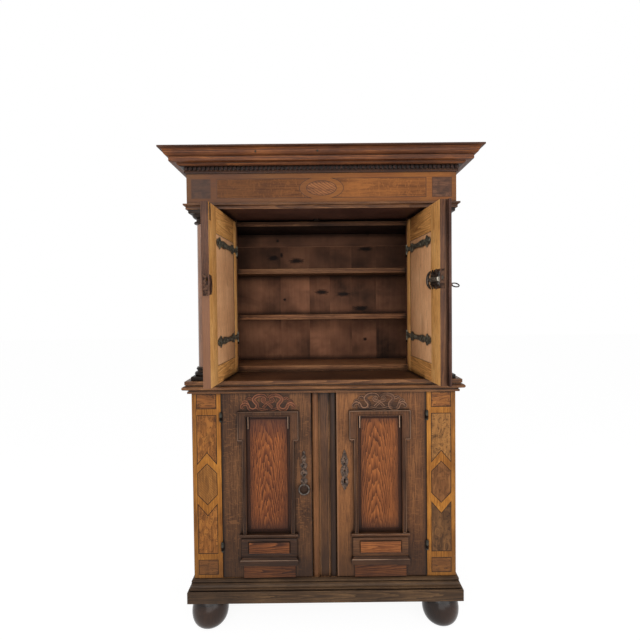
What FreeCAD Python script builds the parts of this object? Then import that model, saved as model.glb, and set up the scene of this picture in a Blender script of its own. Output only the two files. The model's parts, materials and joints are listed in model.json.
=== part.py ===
import FreeCAD, Part
import math
import os

# A two-stage oak cupboard on bun feet. The lower case has two doors between marquetry
# pilasters. The set-back upper cupboard has two doors between free columns, under a
# marquetry frieze and a dentil cornice.
# Sizes are in millimetres. x runs along the front, z is up from the floor, and y runs
# back from the front of the lower case. The finished pieces are moved along y together,
# so that the origin lies on the floor under the middle of the whole.

# Carcass
case_width = 1100.0
case_depth = 460.0
board = 22.0
back_thickness = 12.0
veneer = 2.0
lower_height = 782.5
upper_height = 707.5
lower_back_count = 6

# Feet and base frame
foot_height = 128.5
foot_radius = 76.5
foot_pad_radius = 46.0
foot_neck_radius = 50.0
foot_belly = 50.0
foot_bulge = 9.0
foot_set_in = 1.0
spigot_radius = 14.0
spigot_length = 30.0
spigot_clearance = 0.2
block_reach = 50.0
block_height = 45.0
base_projection = 24.7
base_plinth_height = 49.0
base_step_height = 29.5
base_top_height = 14.0
base_step_set_back = 6.0
base_groove = 3.0

# Pilasters, centre post and lower interior
pilaster_width = 120.0
pilaster_depth = 40.0
post_width = 100.0
post_depth = 33.0
reed_width = 27.0
reed_height = 7.0
reed_groove = 5.0
lower_shelf_height = 380.0
lower_shelf_set_back = 60.0
cleat = 20.0
cleat_end = 10.0
stop_height = 20.0

# Marquetry of the pilasters. The hexagon stands a little above the middle of the pilaster.
banding = 18.0
hexagon_apex = 89.0
hexagon_side = 46.0
hexagon_rise = 7.3
burl_side = 81.0
burl_notch = 131.0
cross_band = 25.0
small_panel_height = 64.0
head_margin = 4.0
foot_margin = 14.5

# Waist moulding and ledge
waist_lip = 13.8
waist_lip_height = 8.5
waist_nose = 31.9
waist_nose_height = 15.0
waist_neck_height = 6.0
waist_top = 22.0
waist_top_height = 14.5
waist_groove = 4.0

# Upper cupboard
upper_set_back = 214.0
cup_floor_thickness = 26.5
cup_top_drop = 29.0
cup_top_thickness = 19.0
shelf_thickness = 21.5
low_shelf_height = 242.5
high_shelf_height = 460.5
shelf_set_back = 26.0
back_rail_height = 93.0
back_joints = (-215.0, -64.0, 43.0, 157.0, 285.0)

# Columns
column_plinth = 96.0
column_set_in = 1.0
column_forward = 8.0
column_clearance = 5.81
column_plinth_height = 17.0
column_base_height = 54.0
column_capital_height = 54.0
column_abacus_height = 15.0
shaft_radius = 27.5
shaft_top_radius = 25.0
torus_radius = 44.0
collar_radius = 33.0
tenon_radius = 12.0
tenon_length = 18.0
tenon_clearance = 0.1

# Frieze and cornice
soffit_thickness = 22.0
frieze_height = 123.0
frieze_overhang = 4.4
frieze_forward = 5.7
frieze_fillet = 12.8
frieze_fillet_height = 7.0
frieze_foot = 4.5
lid_thickness = 18.0
bed_projection = 8.0
bed_height = 11.0
dentil_depth = 9.0
dentil_width = 9.5
dentil_height = 13.5
dentil_pitch = 18.0
ovolo_reach = 13.0
ovolo_height = 11.5
fascia_reach = 23.6
fascia_height = 17.0
cyma_step = 3.4
cyma_reach = 25.0
cyma_height = 27.0
crown_reach = 4.6
crown_height = 6.0
frieze_band = 20.5
square_width = 82.0
square_margin = 18.0
square_gap = 23.0
oval_half_width = 89.0
oval_half_height = 44.5
oval_band = 26.0

# Upper doors
door_thickness = 29.0
door_clearance = 3.4
door_head_gap = 10.5
hinge_set_back = 4.0
meeting_gap = 1.0
seat_gap = 0.5
hinge_stile = 46.0
free_stile = 90.0
top_rail = 102.0
bottom_rail = 71.0
panel_inset = 2.0
panel_thickness = 19.0
tongue = 8.0
left_door_angle = 93.27
right_door_angle = 95.42
strip_width = 24.0
strip_thickness = 10.0
strip_overlap = 11.0
strip_clearance = 0.4

# Upper hinges
strap_rise = 162.1
strap_drop = 134.5
strap_length = 290.0
strap_root = 15.0
strap_tip = 7.0
strap_thickness = 3.0
strap_lobe = 17.0
barrel_radius = 5.5
barrel_height = 46.0
pin_radius = 3.0
running_clearance = 0.05
knuckle_gap = 0.3
shoulder_height = 10.0
spike_length = 34.0
spike_width = 6.0
notch_clearance = 0.6

# Upper lock, key, strike and top bolt
lock_length = 131.0
lock_body_length = 62.0
lock_body_depth = 18.0
lock_plate = 3.0
lock_low = 364.1
lock_height = 73.0
bolt_height = 12.0
bolt_thickness = 7.0
bolt_length = 44.0
bolt_rise = 35.0
bolt_travel = 12.0
bolt_clearance = 0.3
key_rise = 14.0
key_set_in = 36.0
key_radius = 3.5
key_bit = 10.0
key_bit_length = 9.0
key_bit_thickness = 2.5
key_cavity = 12.0
key_hole = 5.0
key_stem = 31.0
key_bow = 14.0
key_wire = 2.5
key_rest_angle = 57.0
strike_low = 345.0
strike_height = 82.0
strike_width = 21.0
strike_thickness = 2.0
top_bolt_width = 13.0
top_bolt_length = 50.0
top_bolt_thickness = 8.5
top_bolt_set_in = 21.0
finger_room = 16.0
keeper_width = 24.0
keeper_thickness = 7.5
keeper_height = 8.5

# Lower doors
lower_door_thickness = 28.0
lower_door_gap = 3.0
lower_side_gap = 2.5
lower_panel_recess = 6.0
lower_panel_thickness = 14.0
ornament_offset = 7.3
lower_stile = 95.5
panel_low = 191.4
panel_drop = 98.5
eared_width = 16.0
ear_width = 34.5
ear_height = 100.0
eared_top = 21.0
eared_thickness = 14.0
crest_reach = 23.0
crest_height = 68.0
crest_bar = 28.0
crest_thickness = 10.0
volute_radius = 27.0
ledge_moulding_height = 20.0
ledge_moulding_reach = 29.5
ledge_moulding_depth = 20.0
block_reach_out = 23.5
block_rise = 77.0
block_depth = 12.0
field_margin = 8.0
field_height = 52.0
field_depth = 4.0
foot_moulding_height = 33.0
foot_board_reach = 16.5
foot_board_depth = 6.0

# Lower hinges
lower_hinge_rise = 134.6
lower_hinge_drop = 100.9
lower_axis_forward = 6.0
lower_barrel_radius = 5.5
lower_barrel_height = 13.0
lower_pin_radius = 2.5
leaf_thickness = 2.2
leaf_inset = 1.1
leaf_depth = 25.0

# Ring pull, keyhole plate and lower lock
hardware_set_in = 32.5
plate_thickness = 2.5
pull_plate_low = 409.6
pull_plate_height = 127.0
pull_plate_width = 36.0
ring_radius = 21.0
ring_wire = 2.8
eye_rise = 397.6
eye_radius = 5.0
eye_stand_off = 10.0
eye_clearance = 0.9
keyhole_plate_low = 368.6
keyhole_plate_height = 171.0
keyhole_plate_width = 38.0
keyhole_rise = 411.6
keyhole_radius = 4.5
keyhole_slot = 14.0
lower_lock_length = 75.0
lower_lock_height = 80.0
lower_lock_depth = 18.0
lower_lock_wall = 4.0

# Levels and planes that follow from the sizes above
half = case_width / 2
base_z = foot_height
floor_z = base_z + base_plinth_height + base_step_height + base_top_height
bottom_z = floor_z - board
waist_z = floor_z + lower_height
nose_z = waist_z + waist_lip_height + 2 * waist_groove
ledge_z = nose_z + waist_nose_height + waist_neck_height + waist_top_height
soffit_z = ledge_z + upper_height
frieze_z = soffit_z + soffit_thickness
cornice_z = frieze_z + frieze_height
fascia_z = cornice_z + bed_height + dentil_height + ovolo_height
cyma_z = fascia_z + fascia_height
crown_z = cyma_z + cyma_height + crown_height
lid_z = crown_z - lid_thickness
inner_half = half - board
back_y = case_depth - back_thickness
pilaster_in = half - pilaster_width
post_half = post_width / 2
column_x = half - column_set_in - column_plinth / 2
column_y = column_plinth / 2 - column_forward
upper_inner_y = upper_set_back + board
frieze_half = half + frieze_overhang
frieze_y = -frieze_forward
door_z = ledge_z + door_clearance
door_top = soffit_z - door_head_gap

# The opening leaves room for the right door, which leans past square, beside the column.
lean = math.radians(right_door_angle)
lean_length = (upper_set_back + column_forward - door_thickness * math.cos(lean)) / math.sin(lean)
door_room = door_thickness * math.sin(lean) - lean_length * math.cos(lean)
opening_half = column_x - column_plinth / 2 - column_clearance - door_room
door_end = opening_half - meeting_gap

lower_door_z = floor_z + lower_door_gap
lower_door_top = waist_z - lower_door_gap
lower_hinge_x = pilaster_in - lower_side_gap / 2
lower_edge = pilaster_in - lower_side_gap
lower_free = post_half + lower_side_gap
shelf_z = floor_z + lower_shelf_height
ornament_x = (lower_edge + lower_free) / 2 - ornament_offset
panel_half = (lower_edge - lower_free) / 2 - lower_stile
panel_z = floor_z + panel_low
panel_top = waist_z - panel_drop
hardware_x = lower_free + hardware_set_in
up = FreeCAD.Vector(0, 0, 1)
back = FreeCAD.Vector(0, 1, 0)
pieces = {}


def vec(x, y, z):
    """Return a point."""
    return FreeCAD.Vector(x, y, z)


def box(x0, x1, y0, y1, z0, z1):
    """Return the box between two corners, given in any order."""
    low = vec(min(x0, x1), min(y0, y1), min(z0, z1))
    return Part.makeBox(abs(x1 - x0), abs(y1 - y0), abs(z1 - z0), low)


def cylinder(radius, length, foot, axis):
    """Return a cylinder that starts at a point and runs along an axis."""
    return Part.makeCylinder(radius, length, foot, axis)


def fuse(shapes):
    """Return one solid made of overlapping shapes."""
    whole = shapes[0].multiFuse(shapes[1:]).removeSplitter()
    return whole.Solids[0] if len(whole.Solids) == 1 else whole


def cut(shape, tools):
    """Return a shape without the space that the tools take."""
    for tool in tools:
        shape = shape.cut(tool)
    return shape


def section(steps, place):
    """Return a face from an outline of lines (u, v) and arcs (mid u, mid v, end u, end v)."""
    edges = []
    start = place(*steps[0])
    for step in list(steps[1:]) + [steps[0]]:
        end = place(*step[-2:])
        if len(step) == 4:
            edges.append(Part.Arc(start, place(*step[:2]), end).toShape())
        elif (end - start).Length > 1e-6:
            edges.append(Part.LineSegment(start, end).toShape())
        start = end
    return Part.Face(Part.Wire(edges))


def front_plate(steps, y0, y1):
    """Return a plate with an outline in x and z, between two depths."""
    return section(steps, lambda x, z: vec(x, y0, z)).extrude(vec(0, y1 - y0, 0))


def turned(steps, x, y):
    """Return a turned solid about an upright axis, from an outline in radius and height."""
    face = section(steps, lambda r, z: vec(x + r, y, z))
    return face.revolve(vec(x, y, 0), up, 360)


def mitred_mouldings(steps, reach, half_width, front):
    """Return a moulding's front, left and right lengths, mitred at the two front corners.

    The outline is in projection and height, and reach is more than its projection."""
    low = min(step[-1] for step in steps) - reach
    high = max(step[-1] for step in steps) + reach

    def plan(points):
        ring = [vec(x, y, low) for x, y in points]
        return Part.Face(Part.makePolygon(ring + [ring[0]])).extrude(vec(0, 0, high - low))

    outer = half_width + reach
    run = section(steps, lambda p, z: vec(-outer, front - p, z)).extrude(vec(2 * outer, 0, 0))
    tips = [(outer, front - reach), (-outer, front - reach)]
    wedge = plan([(-half_width, front), (half_width, front)] + tips)
    lengths = [run.common(wedge).Solids[0]]
    for side in (-1, 1):
        face = section(steps, lambda p, z: vec(side * (half_width + p), front - reach, z))
        run = face.extrude(vec(0, case_depth - front + reach, 0))
        inner = side * half_width
        edge = side * outer
        wedge = plan([(inner, front), (inner, case_depth), (edge, case_depth), (edge, front - reach)])
        lengths.append(run.common(wedge).Solids[0])
    return lengths


def add(name, *solids):
    """Keep the solids of one node under its name."""
    pieces[name] = list(solids)


def foot(x, y):
    """Return a bun foot with its spigot."""
    shoulder_low = (foot_radius + foot_pad_radius) / 2 + foot_bulge
    shoulder_high = (foot_radius + foot_neck_radius) / 2 + foot_bulge
    belly = Part.BSplineCurve()
    belly.interpolate([
        vec(x + foot_pad_radius, y, 0),
        vec(x + shoulder_low, y, foot_belly / 2),
        vec(x + foot_radius, y, foot_belly),
        vec(x + shoulder_high, y, (foot_height + foot_belly) / 2),
        vec(x + foot_neck_radius, y, foot_height),
    ])
    ends = [vec(x + foot_neck_radius, y, foot_height), vec(x, y, foot_height)]
    ends += [vec(x, y, 0), vec(x + foot_pad_radius, y, 0)]
    bun = Part.Face(Part.Wire([belly.toShape(), Part.makePolygon(ends)])).revolve(vec(x, y, 0), up, 360)
    core = foot_height / 2
    return fuse([bun, cylinder(spigot_radius, core + spigot_length, vec(x, y, core), up)])


def build_base():
    """Make the feet, the base frame with its corner blocks, and the base moulding."""
    foot_x = half + base_projection - foot_radius
    foot_rows = (foot_radius - base_projection, case_depth - foot_radius - foot_set_in)
    feet = []
    frame = [
        box(-half, half, 0, board, base_z, bottom_z),
        box(-half, half, case_depth - board, case_depth, base_z, bottom_z),
    ]
    for side in (-1, 1):
        frame.append(box(side * inner_half, side * half, board, case_depth - board, base_z, bottom_z))
        for y, rail in zip(foot_rows, (board, case_depth - board)):
            feet.append(foot(side * foot_x, y))
            toward = block_reach if rail == board else -block_reach
            inner = side * (foot_x - block_reach)
            block = box(inner, side * inner_half, rail, y + toward, base_z, base_z + block_height)
            hole = cylinder(
                spigot_radius + spigot_clearance, spigot_length + 1, vec(side * foot_x, y, base_z), up
            )
            frame.append(block.cut(hole))
    add("bun_feet", *feet)
    add("base_frame", *frame)

    plinth_top = base_z + base_plinth_height
    step_top = plinth_top + base_step_height
    step = base_projection - base_step_set_back
    rise = base_groove * 2
    steps = [
        (0, base_z),
        (base_projection, base_z),
        (base_projection, plinth_top - base_groove),
        (
            base_projection - 0.3 * base_groove, plinth_top - 0.3 * base_groove,
            base_projection - base_groove, plinth_top,
        ),
        (step - base_groove, plinth_top),
        (step - base_groove, plinth_top + base_groove),
        (step, plinth_top + base_groove),
        (step, plinth_top + base_groove + rise),
        (step * 0.66, plinth_top + base_groove + 1.6 * rise, step * 0.55, step_top),
        (step * 0.4, step_top),
        (step * 0.4, step_top + base_groove),
        (step * 0.52, step_top + base_groove),
        (step * 0.52, step_top + base_groove + rise),
        (step * 0.3, step_top + base_groove + 1.4 * rise, step * 0.12, floor_z),
        (0, floor_z),
    ]
    add("base_moulding", *mitred_mouldings(steps, base_projection + board, half, 0))


def lower_hinge(side, z):
    """Return the fixed and the moving half of a lower door's hinge, and their two mortises."""
    axis = vec(side * lower_hinge_x, -lower_axis_forward, z)
    low = z - lower_barrel_height
    top = z + lower_barrel_height
    rest = z - knuckle_gap / 2
    start = z + knuckle_gap / 2
    case_leaf = (side * (pilaster_in + leaf_inset), side * (pilaster_in + leaf_inset + leaf_thickness))
    door_leaf = (side * (lower_edge - leaf_inset), side * (lower_edge - leaf_inset - leaf_thickness))
    pin = cylinder(lower_pin_radius, top - low, vec(axis.x, axis.y, low), up)
    fixed = fuse([
        cylinder(lower_barrel_radius, rest - low, vec(axis.x, axis.y, low), up),
        box(*case_leaf, axis.y, leaf_depth, low, rest),
        pin,
    ])
    bore = cylinder(lower_pin_radius + running_clearance, top - low + 2, vec(axis.x, axis.y, low - 1), up)
    moving = fuse([
        cylinder(lower_barrel_radius, top - start, vec(axis.x, axis.y, start), up),
        box(*door_leaf, axis.y, leaf_depth, start, top),
    ]).cut(bore)
    case_mortise = box(*case_leaf, -1, leaf_depth, low, rest)
    door_mortise = box(*door_leaf, -1, leaf_depth, start, top)
    return fixed, moving.Solids[0], case_mortise, door_mortise


def pilaster_shapes(side):
    """Return the outlines of one pilaster's burl panels, in x and z."""
    middle = (floor_z + waist_z) / 2 + hexagon_rise
    centre = side * (pilaster_in + half) / 2
    reach = pilaster_width / 2 - banding
    outlines = [[
        (centre, middle + hexagon_apex),
        (centre + reach, middle + hexagon_side),
        (centre + reach, middle - hexagon_side),
        (centre, middle - hexagon_apex),
        (centre - reach, middle - hexagon_side),
        (centre - reach, middle + hexagon_side),
    ]]
    for way, end in ((-1, floor_z + foot_margin), (1, waist_z - head_margin)):
        start = end - way * small_panel_height
        burl_end = start - way * cross_band
        outlines.append([
            (centre - reach, middle + way * burl_side),
            (centre, middle + way * burl_notch),
            (centre + reach, middle + way * burl_side),
            (centre + reach, burl_end),
            (centre - reach, burl_end),
        ])
        outlines.append([
            (centre - reach, start), (centre + reach, start), (centre + reach, end), (centre - reach, end),
        ])
    return outlines


def build_lower_case(hinges):
    """Make the lower carcass, the pilasters, the centre post, the shelf and the ledge."""
    add("lower_bottom", box(-half, half, 0, case_depth, bottom_z, floor_z))
    add("lower_top", box(-half, half, 0, case_depth, waist_z, waist_z + board))
    add("ledge_board", box(-half, half, 0, case_depth, waist_z + board, ledge_z))
    cleats = []
    burl = []
    bands = []
    for side, name in ((-1, "left"), (1, "right")):
        board_x = (side * inner_half, side * half)
        add(f"lower_{name}_side", box(*board_x, pilaster_depth, case_depth, floor_z, waist_z))
        mortises = [hinge[2] for hinge in hinges[side]]
        core = box(side * pilaster_in, side * half, veneer, pilaster_depth, floor_z, waist_z)
        add(f"{name}_pilaster", cut(core, mortises))
        panels = [front_plate(outline, 0, veneer) for outline in pilaster_shapes(side)]
        band = box(side * pilaster_in, side * half, 0, veneer, floor_z, waist_z)
        bands.append(cut(band, panels + mortises))
        burl += panels
        cleats.append(box(
            side * (inner_half - cleat), side * inner_half,
            lower_shelf_set_back + cleat_end, back_y - cleat_end, shelf_z - cleat, shelf_z,
        ))
        stop_y = lower_door_thickness + seat_gap
        stop_x = (side * post_half, side * pilaster_in)
        cleats.append(box(*stop_x, stop_y, stop_y + cleat, floor_z, floor_z + stop_height))
        for level in (low_shelf_height, high_shelf_height):
            cleats.append(box(
                side * (inner_half - cleat), side * inner_half,
                upper_inner_y + cleat_end, back_y - cleat_end, ledge_z + level - cleat, ledge_z + level,
            ))
    add("cleats_and_stops", *cleats)
    width = 2 * inner_half / lower_back_count
    add("lower_back_boards", *[
        box(-inner_half + i * width, -inner_half + (i + 1) * width, back_y, case_depth, floor_z, waist_z)
        for i in range(lower_back_count)
    ])
    add("lower_shelf", box(-inner_half, inner_half, lower_shelf_set_back, back_y, shelf_z, shelf_z + board))
    build_post()
    return bands, burl


def build_post():
    """Make the reeded centre post, behind which the lower lock's bolt shoots."""
    inner = post_half - reed_width
    field = inner - reed_groove
    groove = reed_height + reed_groove
    steps = [(-post_half, post_depth), (-post_half, reed_height)]
    steps.append((-(post_half + inner) / 2, 0, -inner, reed_height))
    steps += [(-inner, groove), (-field, groove), (-field, reed_groove)]
    steps.append((0, reed_groove / 2, field, reed_groove))
    steps += [(field, groove), (inner, groove), (inner, reed_height)]
    steps.append(((post_half + inner) / 2, 0, post_half, reed_height))
    steps.append((post_half, post_depth))
    add("centre_post", section(steps, lambda x, y: vec(x, y, floor_z)).extrude(vec(0, 0, lower_height)))


def build_waist():
    """Make the waist moulding round the ledge."""
    lip_top = waist_z + waist_lip_height
    nose_mid = nose_z + waist_nose_height / 2
    nose_high = nose_z + waist_nose_height
    fillet_z = ledge_z - waist_top_height
    neck = waist_nose - waist_nose_height / 2
    steps = [
        (0, waist_z),
        (waist_lip, waist_z),
        (waist_lip, lip_top),
        (waist_lip - waist_groove, lip_top),
        (waist_lip - waist_groove, lip_top + waist_groove),
        (neck, nose_z),
        (waist_nose, nose_mid, neck, nose_high),
        (waist_top - waist_groove, nose_high),
        (waist_top - waist_groove, fillet_z),
        (waist_top, fillet_z),
        (waist_top, ledge_z),
        (0, ledge_z),
    ]
    add("waist_moulding", *mitred_mouldings(steps, waist_nose + board, half, 0))


def strap_parts(side, z):
    """Return one upper hinge of a closed door: the strap, its pintle, and the two notches."""
    x = side * opening_half
    y = upper_set_back
    low = z - barrel_height / 2
    foot_z = low - knuckle_gap - shoulder_height

    def at(s, height):
        return side * (opening_half - s), height

    bar = front_plate([
        at(0, z - strap_root), at(strap_length, z - strap_tip),
        at(strap_length, z + strap_tip), at(0, z + strap_root),
    ], y, y + strap_thickness)
    lobes = [
        cylinder(radius, strap_thickness, vec(side * (opening_half - s), y, height), back)
        for s, height, radius in (
            (strap_length * 0.36, z, strap_lobe),
            (strap_length * 0.72, z, strap_lobe * 0.8),
            (strap_length, z, strap_lobe * 0.7),
            (strap_length - strap_lobe, z + strap_lobe, strap_lobe * 0.5),
            (strap_length - strap_lobe, z - strap_lobe, strap_lobe * 0.5),
        )
    ]
    barrel = cylinder(barrel_radius, barrel_height, vec(x, y, low), up)
    bore = cylinder(pin_radius + running_clearance, barrel_height + 2, vec(x, y, low - 1), up)
    strap = fuse([barrel, bar] + lobes).cut(bore)
    spike = (x, x + side * spike_length, y + knuckle_gap, y + knuckle_gap + spike_width)
    pintle = fuse([
        cylinder(barrel_radius, shoulder_height, vec(x, y, foot_z), up),
        cylinder(pin_radius, shoulder_height + knuckle_gap + barrel_height, vec(x, y, foot_z), up),
        box(*spike, foot_z, foot_z + shoulder_height),
    ])
    room = barrel_radius + notch_clearance
    notch = cylinder(room, z + barrel_height / 2 - foot_z + 2, vec(x, y, foot_z - 1), up)
    socket = box(*spike, foot_z, foot_z + shoulder_height)
    return strap.Solids[0], pintle, notch, socket


def build_upper_case(straps):
    """Make the upper carcass: stiles, sides, bottom, top, shelves and back boards."""
    for side, name in ((-1, "left"), (1, "right")):
        stile = box(side * opening_half, side * half, upper_set_back, upper_inner_y, ledge_z, soffit_z)
        tools = [tool for hinge in straps[side] for tool in hinge[2:]]
        add(f"upper_{name}_stile", cut(stile, tools))
        board_x = (side * inner_half, side * half)
        add(f"upper_{name}_side", box(*board_x, upper_inner_y, case_depth, ledge_z, soffit_z))
    cup_top = soffit_z - cup_top_drop
    for name, low, high in (
        ("upper_bottom", ledge_z, ledge_z + cup_floor_thickness),
        ("upper_top", cup_top, cup_top + cup_top_thickness),
    ):
        front = upper_set_back + seat_gap
        lip = box(-opening_half, opening_half, front, upper_inner_y, low, high)
        add(name, fuse([lip, box(-inner_half, inner_half, upper_inner_y, back_y, low, high)]))
    shelf_y = upper_set_back + shelf_set_back
    levels = (ledge_z + low_shelf_height, ledge_z + high_shelf_height)
    add("upper_shelves", *[
        box(-inner_half, inner_half, shelf_y, back_y, z, z + shelf_thickness) for z in levels
    ])
    rail_z = soffit_z - back_rail_height
    edges = [-inner_half, *back_joints, inner_half]
    boards = [box(a, b, back_y, case_depth, ledge_z, rail_z) for a, b in zip(edges, edges[1:])]
    boards.append(box(-inner_half, inner_half, back_y, case_depth, rail_z, soffit_z))
    add("upper_back_boards", *boards)


def build_columns():
    """Make the two columns: bases, shafts with tenons, and capitals."""
    bases = []
    shafts = []
    capitals = []
    reach = column_plinth / 2
    base_top = ledge_z + column_base_height
    capital_z = soffit_z - column_capital_height
    plinth_top = ledge_z + column_plinth_height
    abacus_z = soffit_z - column_abacus_height
    hole = tenon_radius + tenon_clearance
    for side in (-1, 1):
        x = side * column_x
        plinth = box(x - reach, x + reach, column_y - reach, column_y + reach, ledge_z, plinth_top)
        rise = base_top - plinth_top
        ring = turned([
            (0, plinth_top),
            (torus_radius - rise * 0.2, plinth_top),
            (torus_radius, plinth_top + rise * 0.24, torus_radius - rise * 0.2, plinth_top + rise * 0.48),
            (collar_radius, plinth_top + rise * 0.54),
            (collar_radius, plinth_top + rise * 0.66),
            (collar_radius + rise * 0.1, plinth_top + rise * 0.8, collar_radius, plinth_top + rise * 0.94),
            (collar_radius, base_top),
            (0, base_top),
        ], x, column_y)
        socket = cylinder(hole, tenon_length + 1, vec(x, column_y, base_top - tenon_length - 1), up)
        bases.append(fuse([plinth, ring]).cut(socket).Solids[0])
        shafts.append(turned([
            (0, base_top - tenon_length),
            (tenon_radius, base_top - tenon_length),
            (tenon_radius, base_top),
            (shaft_radius, base_top),
            (shaft_top_radius, capital_z),
            (tenon_radius, capital_z),
            (tenon_radius, capital_z + tenon_length),
            (0, capital_z + tenon_length),
        ], x, column_y))
        abacus = box(x - reach, x + reach, column_y - reach, column_y + reach, abacus_z, soffit_z)
        rise = abacus_z - capital_z
        bell = turned([
            (0, capital_z),
            (collar_radius, capital_z),
            (collar_radius + rise * 0.1, capital_z + rise * 0.12, collar_radius, capital_z + rise * 0.24),
            (shaft_radius, capital_z + rise * 0.3),
            (shaft_radius, capital_z + rise * 0.52),
            (collar_radius, capital_z + rise * 0.58),
            (torus_radius * 0.93, capital_z + rise * 0.74, torus_radius, abacus_z),
            (0, abacus_z),
        ], x, column_y)
        socket = cylinder(hole, tenon_length + 1, vec(x, column_y, capital_z), up)
        capitals.append(fuse([abacus, bell]).cut(socket).Solids[0])
    add("column_bases", *bases)
    add("column_shafts", *shafts)
    add("column_capitals", *capitals)


def ellipse_plate(half_width, half_height, z):
    """Return an oval plate as thick as the veneer, on the front of the frieze."""
    edge = Part.Ellipse(vec(0, 0, 0), half_width, half_height).toShape()
    face = Part.Face(Part.Wire([edge]))
    face.rotate(vec(0, 0, 0), vec(1, 0, 0), 90)
    face.translate(vec(0, frieze_y, z))
    return face.extrude(vec(0, veneer, 0))


def build_frieze(bands, burl):
    """Make the soffit, the frieze boards with their marquetry, and the frieze moulding."""
    add("soffit_board", box(-frieze_half, frieze_half, frieze_y, case_depth, soffit_z, frieze_z))
    inside = frieze_half - board
    inner_y = frieze_y + board
    front = fuse([
        box(-frieze_half, frieze_half, frieze_y + veneer, inner_y, frieze_z, lid_z),
        box(-frieze_half, frieze_half, frieze_y, inner_y, cornice_z, lid_z),
    ])
    boards = [front, box(-inside, inside, case_depth - board, case_depth, frieze_z, lid_z)]
    for side in (-1, 1):
        boards.append(box(side * inside, side * frieze_half, inner_y, case_depth, frieze_z, lid_z))
    add("frieze_boards", *boards)
    add("cornice_lid", box(-frieze_half, frieze_half, frieze_y, case_depth, lid_z, crown_z))

    middle = (frieze_z + cornice_z) / 2
    low = frieze_z + frieze_band
    high = cornice_z - frieze_band
    square_out = frieze_half - square_margin
    square_in = square_out - square_width
    panel_end = square_in - square_gap
    y = frieze_y
    oval = ellipse_plate(oval_half_width, oval_half_height, middle)
    field = box(-panel_end, panel_end, y, y + veneer, low, high).cut(oval)
    shapes = list(field.Solids)
    shapes.append(ellipse_plate(oval_half_width - oval_band, oval_half_height - oval_band / 2, middle))
    for side in (-1, 1):
        shapes.append(box(side * square_in, side * square_out, y, y + veneer, low, high))
    plate = box(-frieze_half, frieze_half, y, y + veneer, frieze_z, cornice_z)
    add("marquetry_banding", *bands, cut(plate, shapes))
    add("marquetry_burl", *burl, *shapes)

    fillet_z = frieze_z - frieze_fillet_height
    steps = [
        (0, soffit_z),
        (frieze_foot, soffit_z),
        (frieze_foot, soffit_z + frieze_foot),
        (frieze_foot * 1.4, fillet_z - frieze_foot * 0.6, frieze_fillet - 1, fillet_z),
        (frieze_fillet, fillet_z),
        (frieze_fillet, frieze_z),
        (0, frieze_z),
    ]
    add("frieze_moulding", *mitred_mouldings(steps, frieze_fillet + board, frieze_half, frieze_y))


def build_cornice():
    """Make the cornice and its dentils."""
    bed_z = cornice_z + bed_height
    row_z = bed_z + dentil_height
    tooth = bed_projection + dentil_depth
    ovolo = tooth + ovolo_reach
    fascia = ovolo + fascia_reach
    cyma_start = fascia + cyma_step
    cyma_end = cyma_start + cyma_reach
    crown = cyma_end + crown_reach
    fillet_z = crown_z - crown_height
    middle = (cyma_start + cyma_end) / 2
    mid_z = (cyma_z + fillet_z) / 2
    quarter = cyma_reach / 4
    rise = cyma_height / 4
    steps = [
        (0, cornice_z),
        (bed_projection / 2, cornice_z),
        (bed_projection / 2, cornice_z + bed_height / 2),
        (bed_projection, bed_z),
        (bed_projection, row_z),
        (tooth, row_z),
        (tooth + ovolo_reach * 0.65, row_z + ovolo_height * 0.33, ovolo, fascia_z),
        (fascia, fascia_z),
        (fascia, cyma_z),
        (cyma_start, cyma_z),
        (middle - quarter, mid_z - 1.6 * rise, middle, mid_z),
        (middle + quarter, mid_z + 1.6 * rise, cyma_end, fillet_z),
        (crown, fillet_z),
        (crown, crown_z),
        (0, crown_z),
    ]
    add("cornice", *mitred_mouldings(steps, crown + board, frieze_half, frieze_y))
    dentils = []
    face = frieze_half + bed_projection
    front = frieze_y - bed_projection
    count = int(2 * face // dentil_pitch)
    first = -(count - 1) * dentil_pitch / 2 - dentil_width / 2
    for i in range(count):
        x = first + i * dentil_pitch
        dentils.append(box(x, x + dentil_width, front - dentil_depth, front, bed_z, row_z))
    side_count = int((case_depth - frieze_y) // dentil_pitch)
    for i in range(side_count):
        y = case_depth - dentil_width - i * dentil_pitch
        for side in (-1, 1):
            dentils.append(box(side * face, side * (face + dentil_depth), y, y + dentil_width, bed_z, row_z))
    add("dentils", *dentils)


def leaf_box(side, s0, s1, t0, t1, z0, z1):
    """Return a box on a closed upper door.

    s runs from the hinge axis along the door and t runs out from the inner face."""
    near = side * (opening_half - s0)
    far = side * (opening_half - s1)
    return box(near, far, upper_set_back - t0, upper_set_back - t1, z0, z1)


def swing(side, shapes):
    """Turn the pieces of a closed upper door to where the door stands open."""
    angle = right_door_angle if side > 0 else -left_door_angle
    for shape in shapes:
        shape.rotate(vec(side * opening_half, upper_set_back, 0), up, angle)
    return shapes


def upper_leaf(side):
    """Return the hinge stile, free stile, top rail, bottom rail and panel of a closed upper door."""
    stile_in = hinge_stile + hinge_set_back
    free_in = door_end - free_stile
    low = door_z + bottom_rail
    high = door_top - top_rail
    tongue_t = panel_inset + panel_thickness / 2 - tongue / 2
    panel = fuse([
        leaf_box(side, stile_in, free_in, panel_inset, panel_inset + panel_thickness, low, high),
        leaf_box(
            side, stile_in - tongue, free_in + tongue, tongue_t, tongue_t + tongue,
            low - tongue, high + tongue,
        ),
    ])
    members = [
        leaf_box(side, hinge_set_back, stile_in, 0, door_thickness, door_z, door_top),
        leaf_box(side, free_in, door_end, 0, door_thickness, door_z, door_top),
        leaf_box(side, stile_in, free_in, 0, door_thickness, high, door_top),
        leaf_box(side, stile_in, free_in, 0, door_thickness, door_z, low),
    ]
    return [cut(member, [panel]) for member in members] + [panel]


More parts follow.
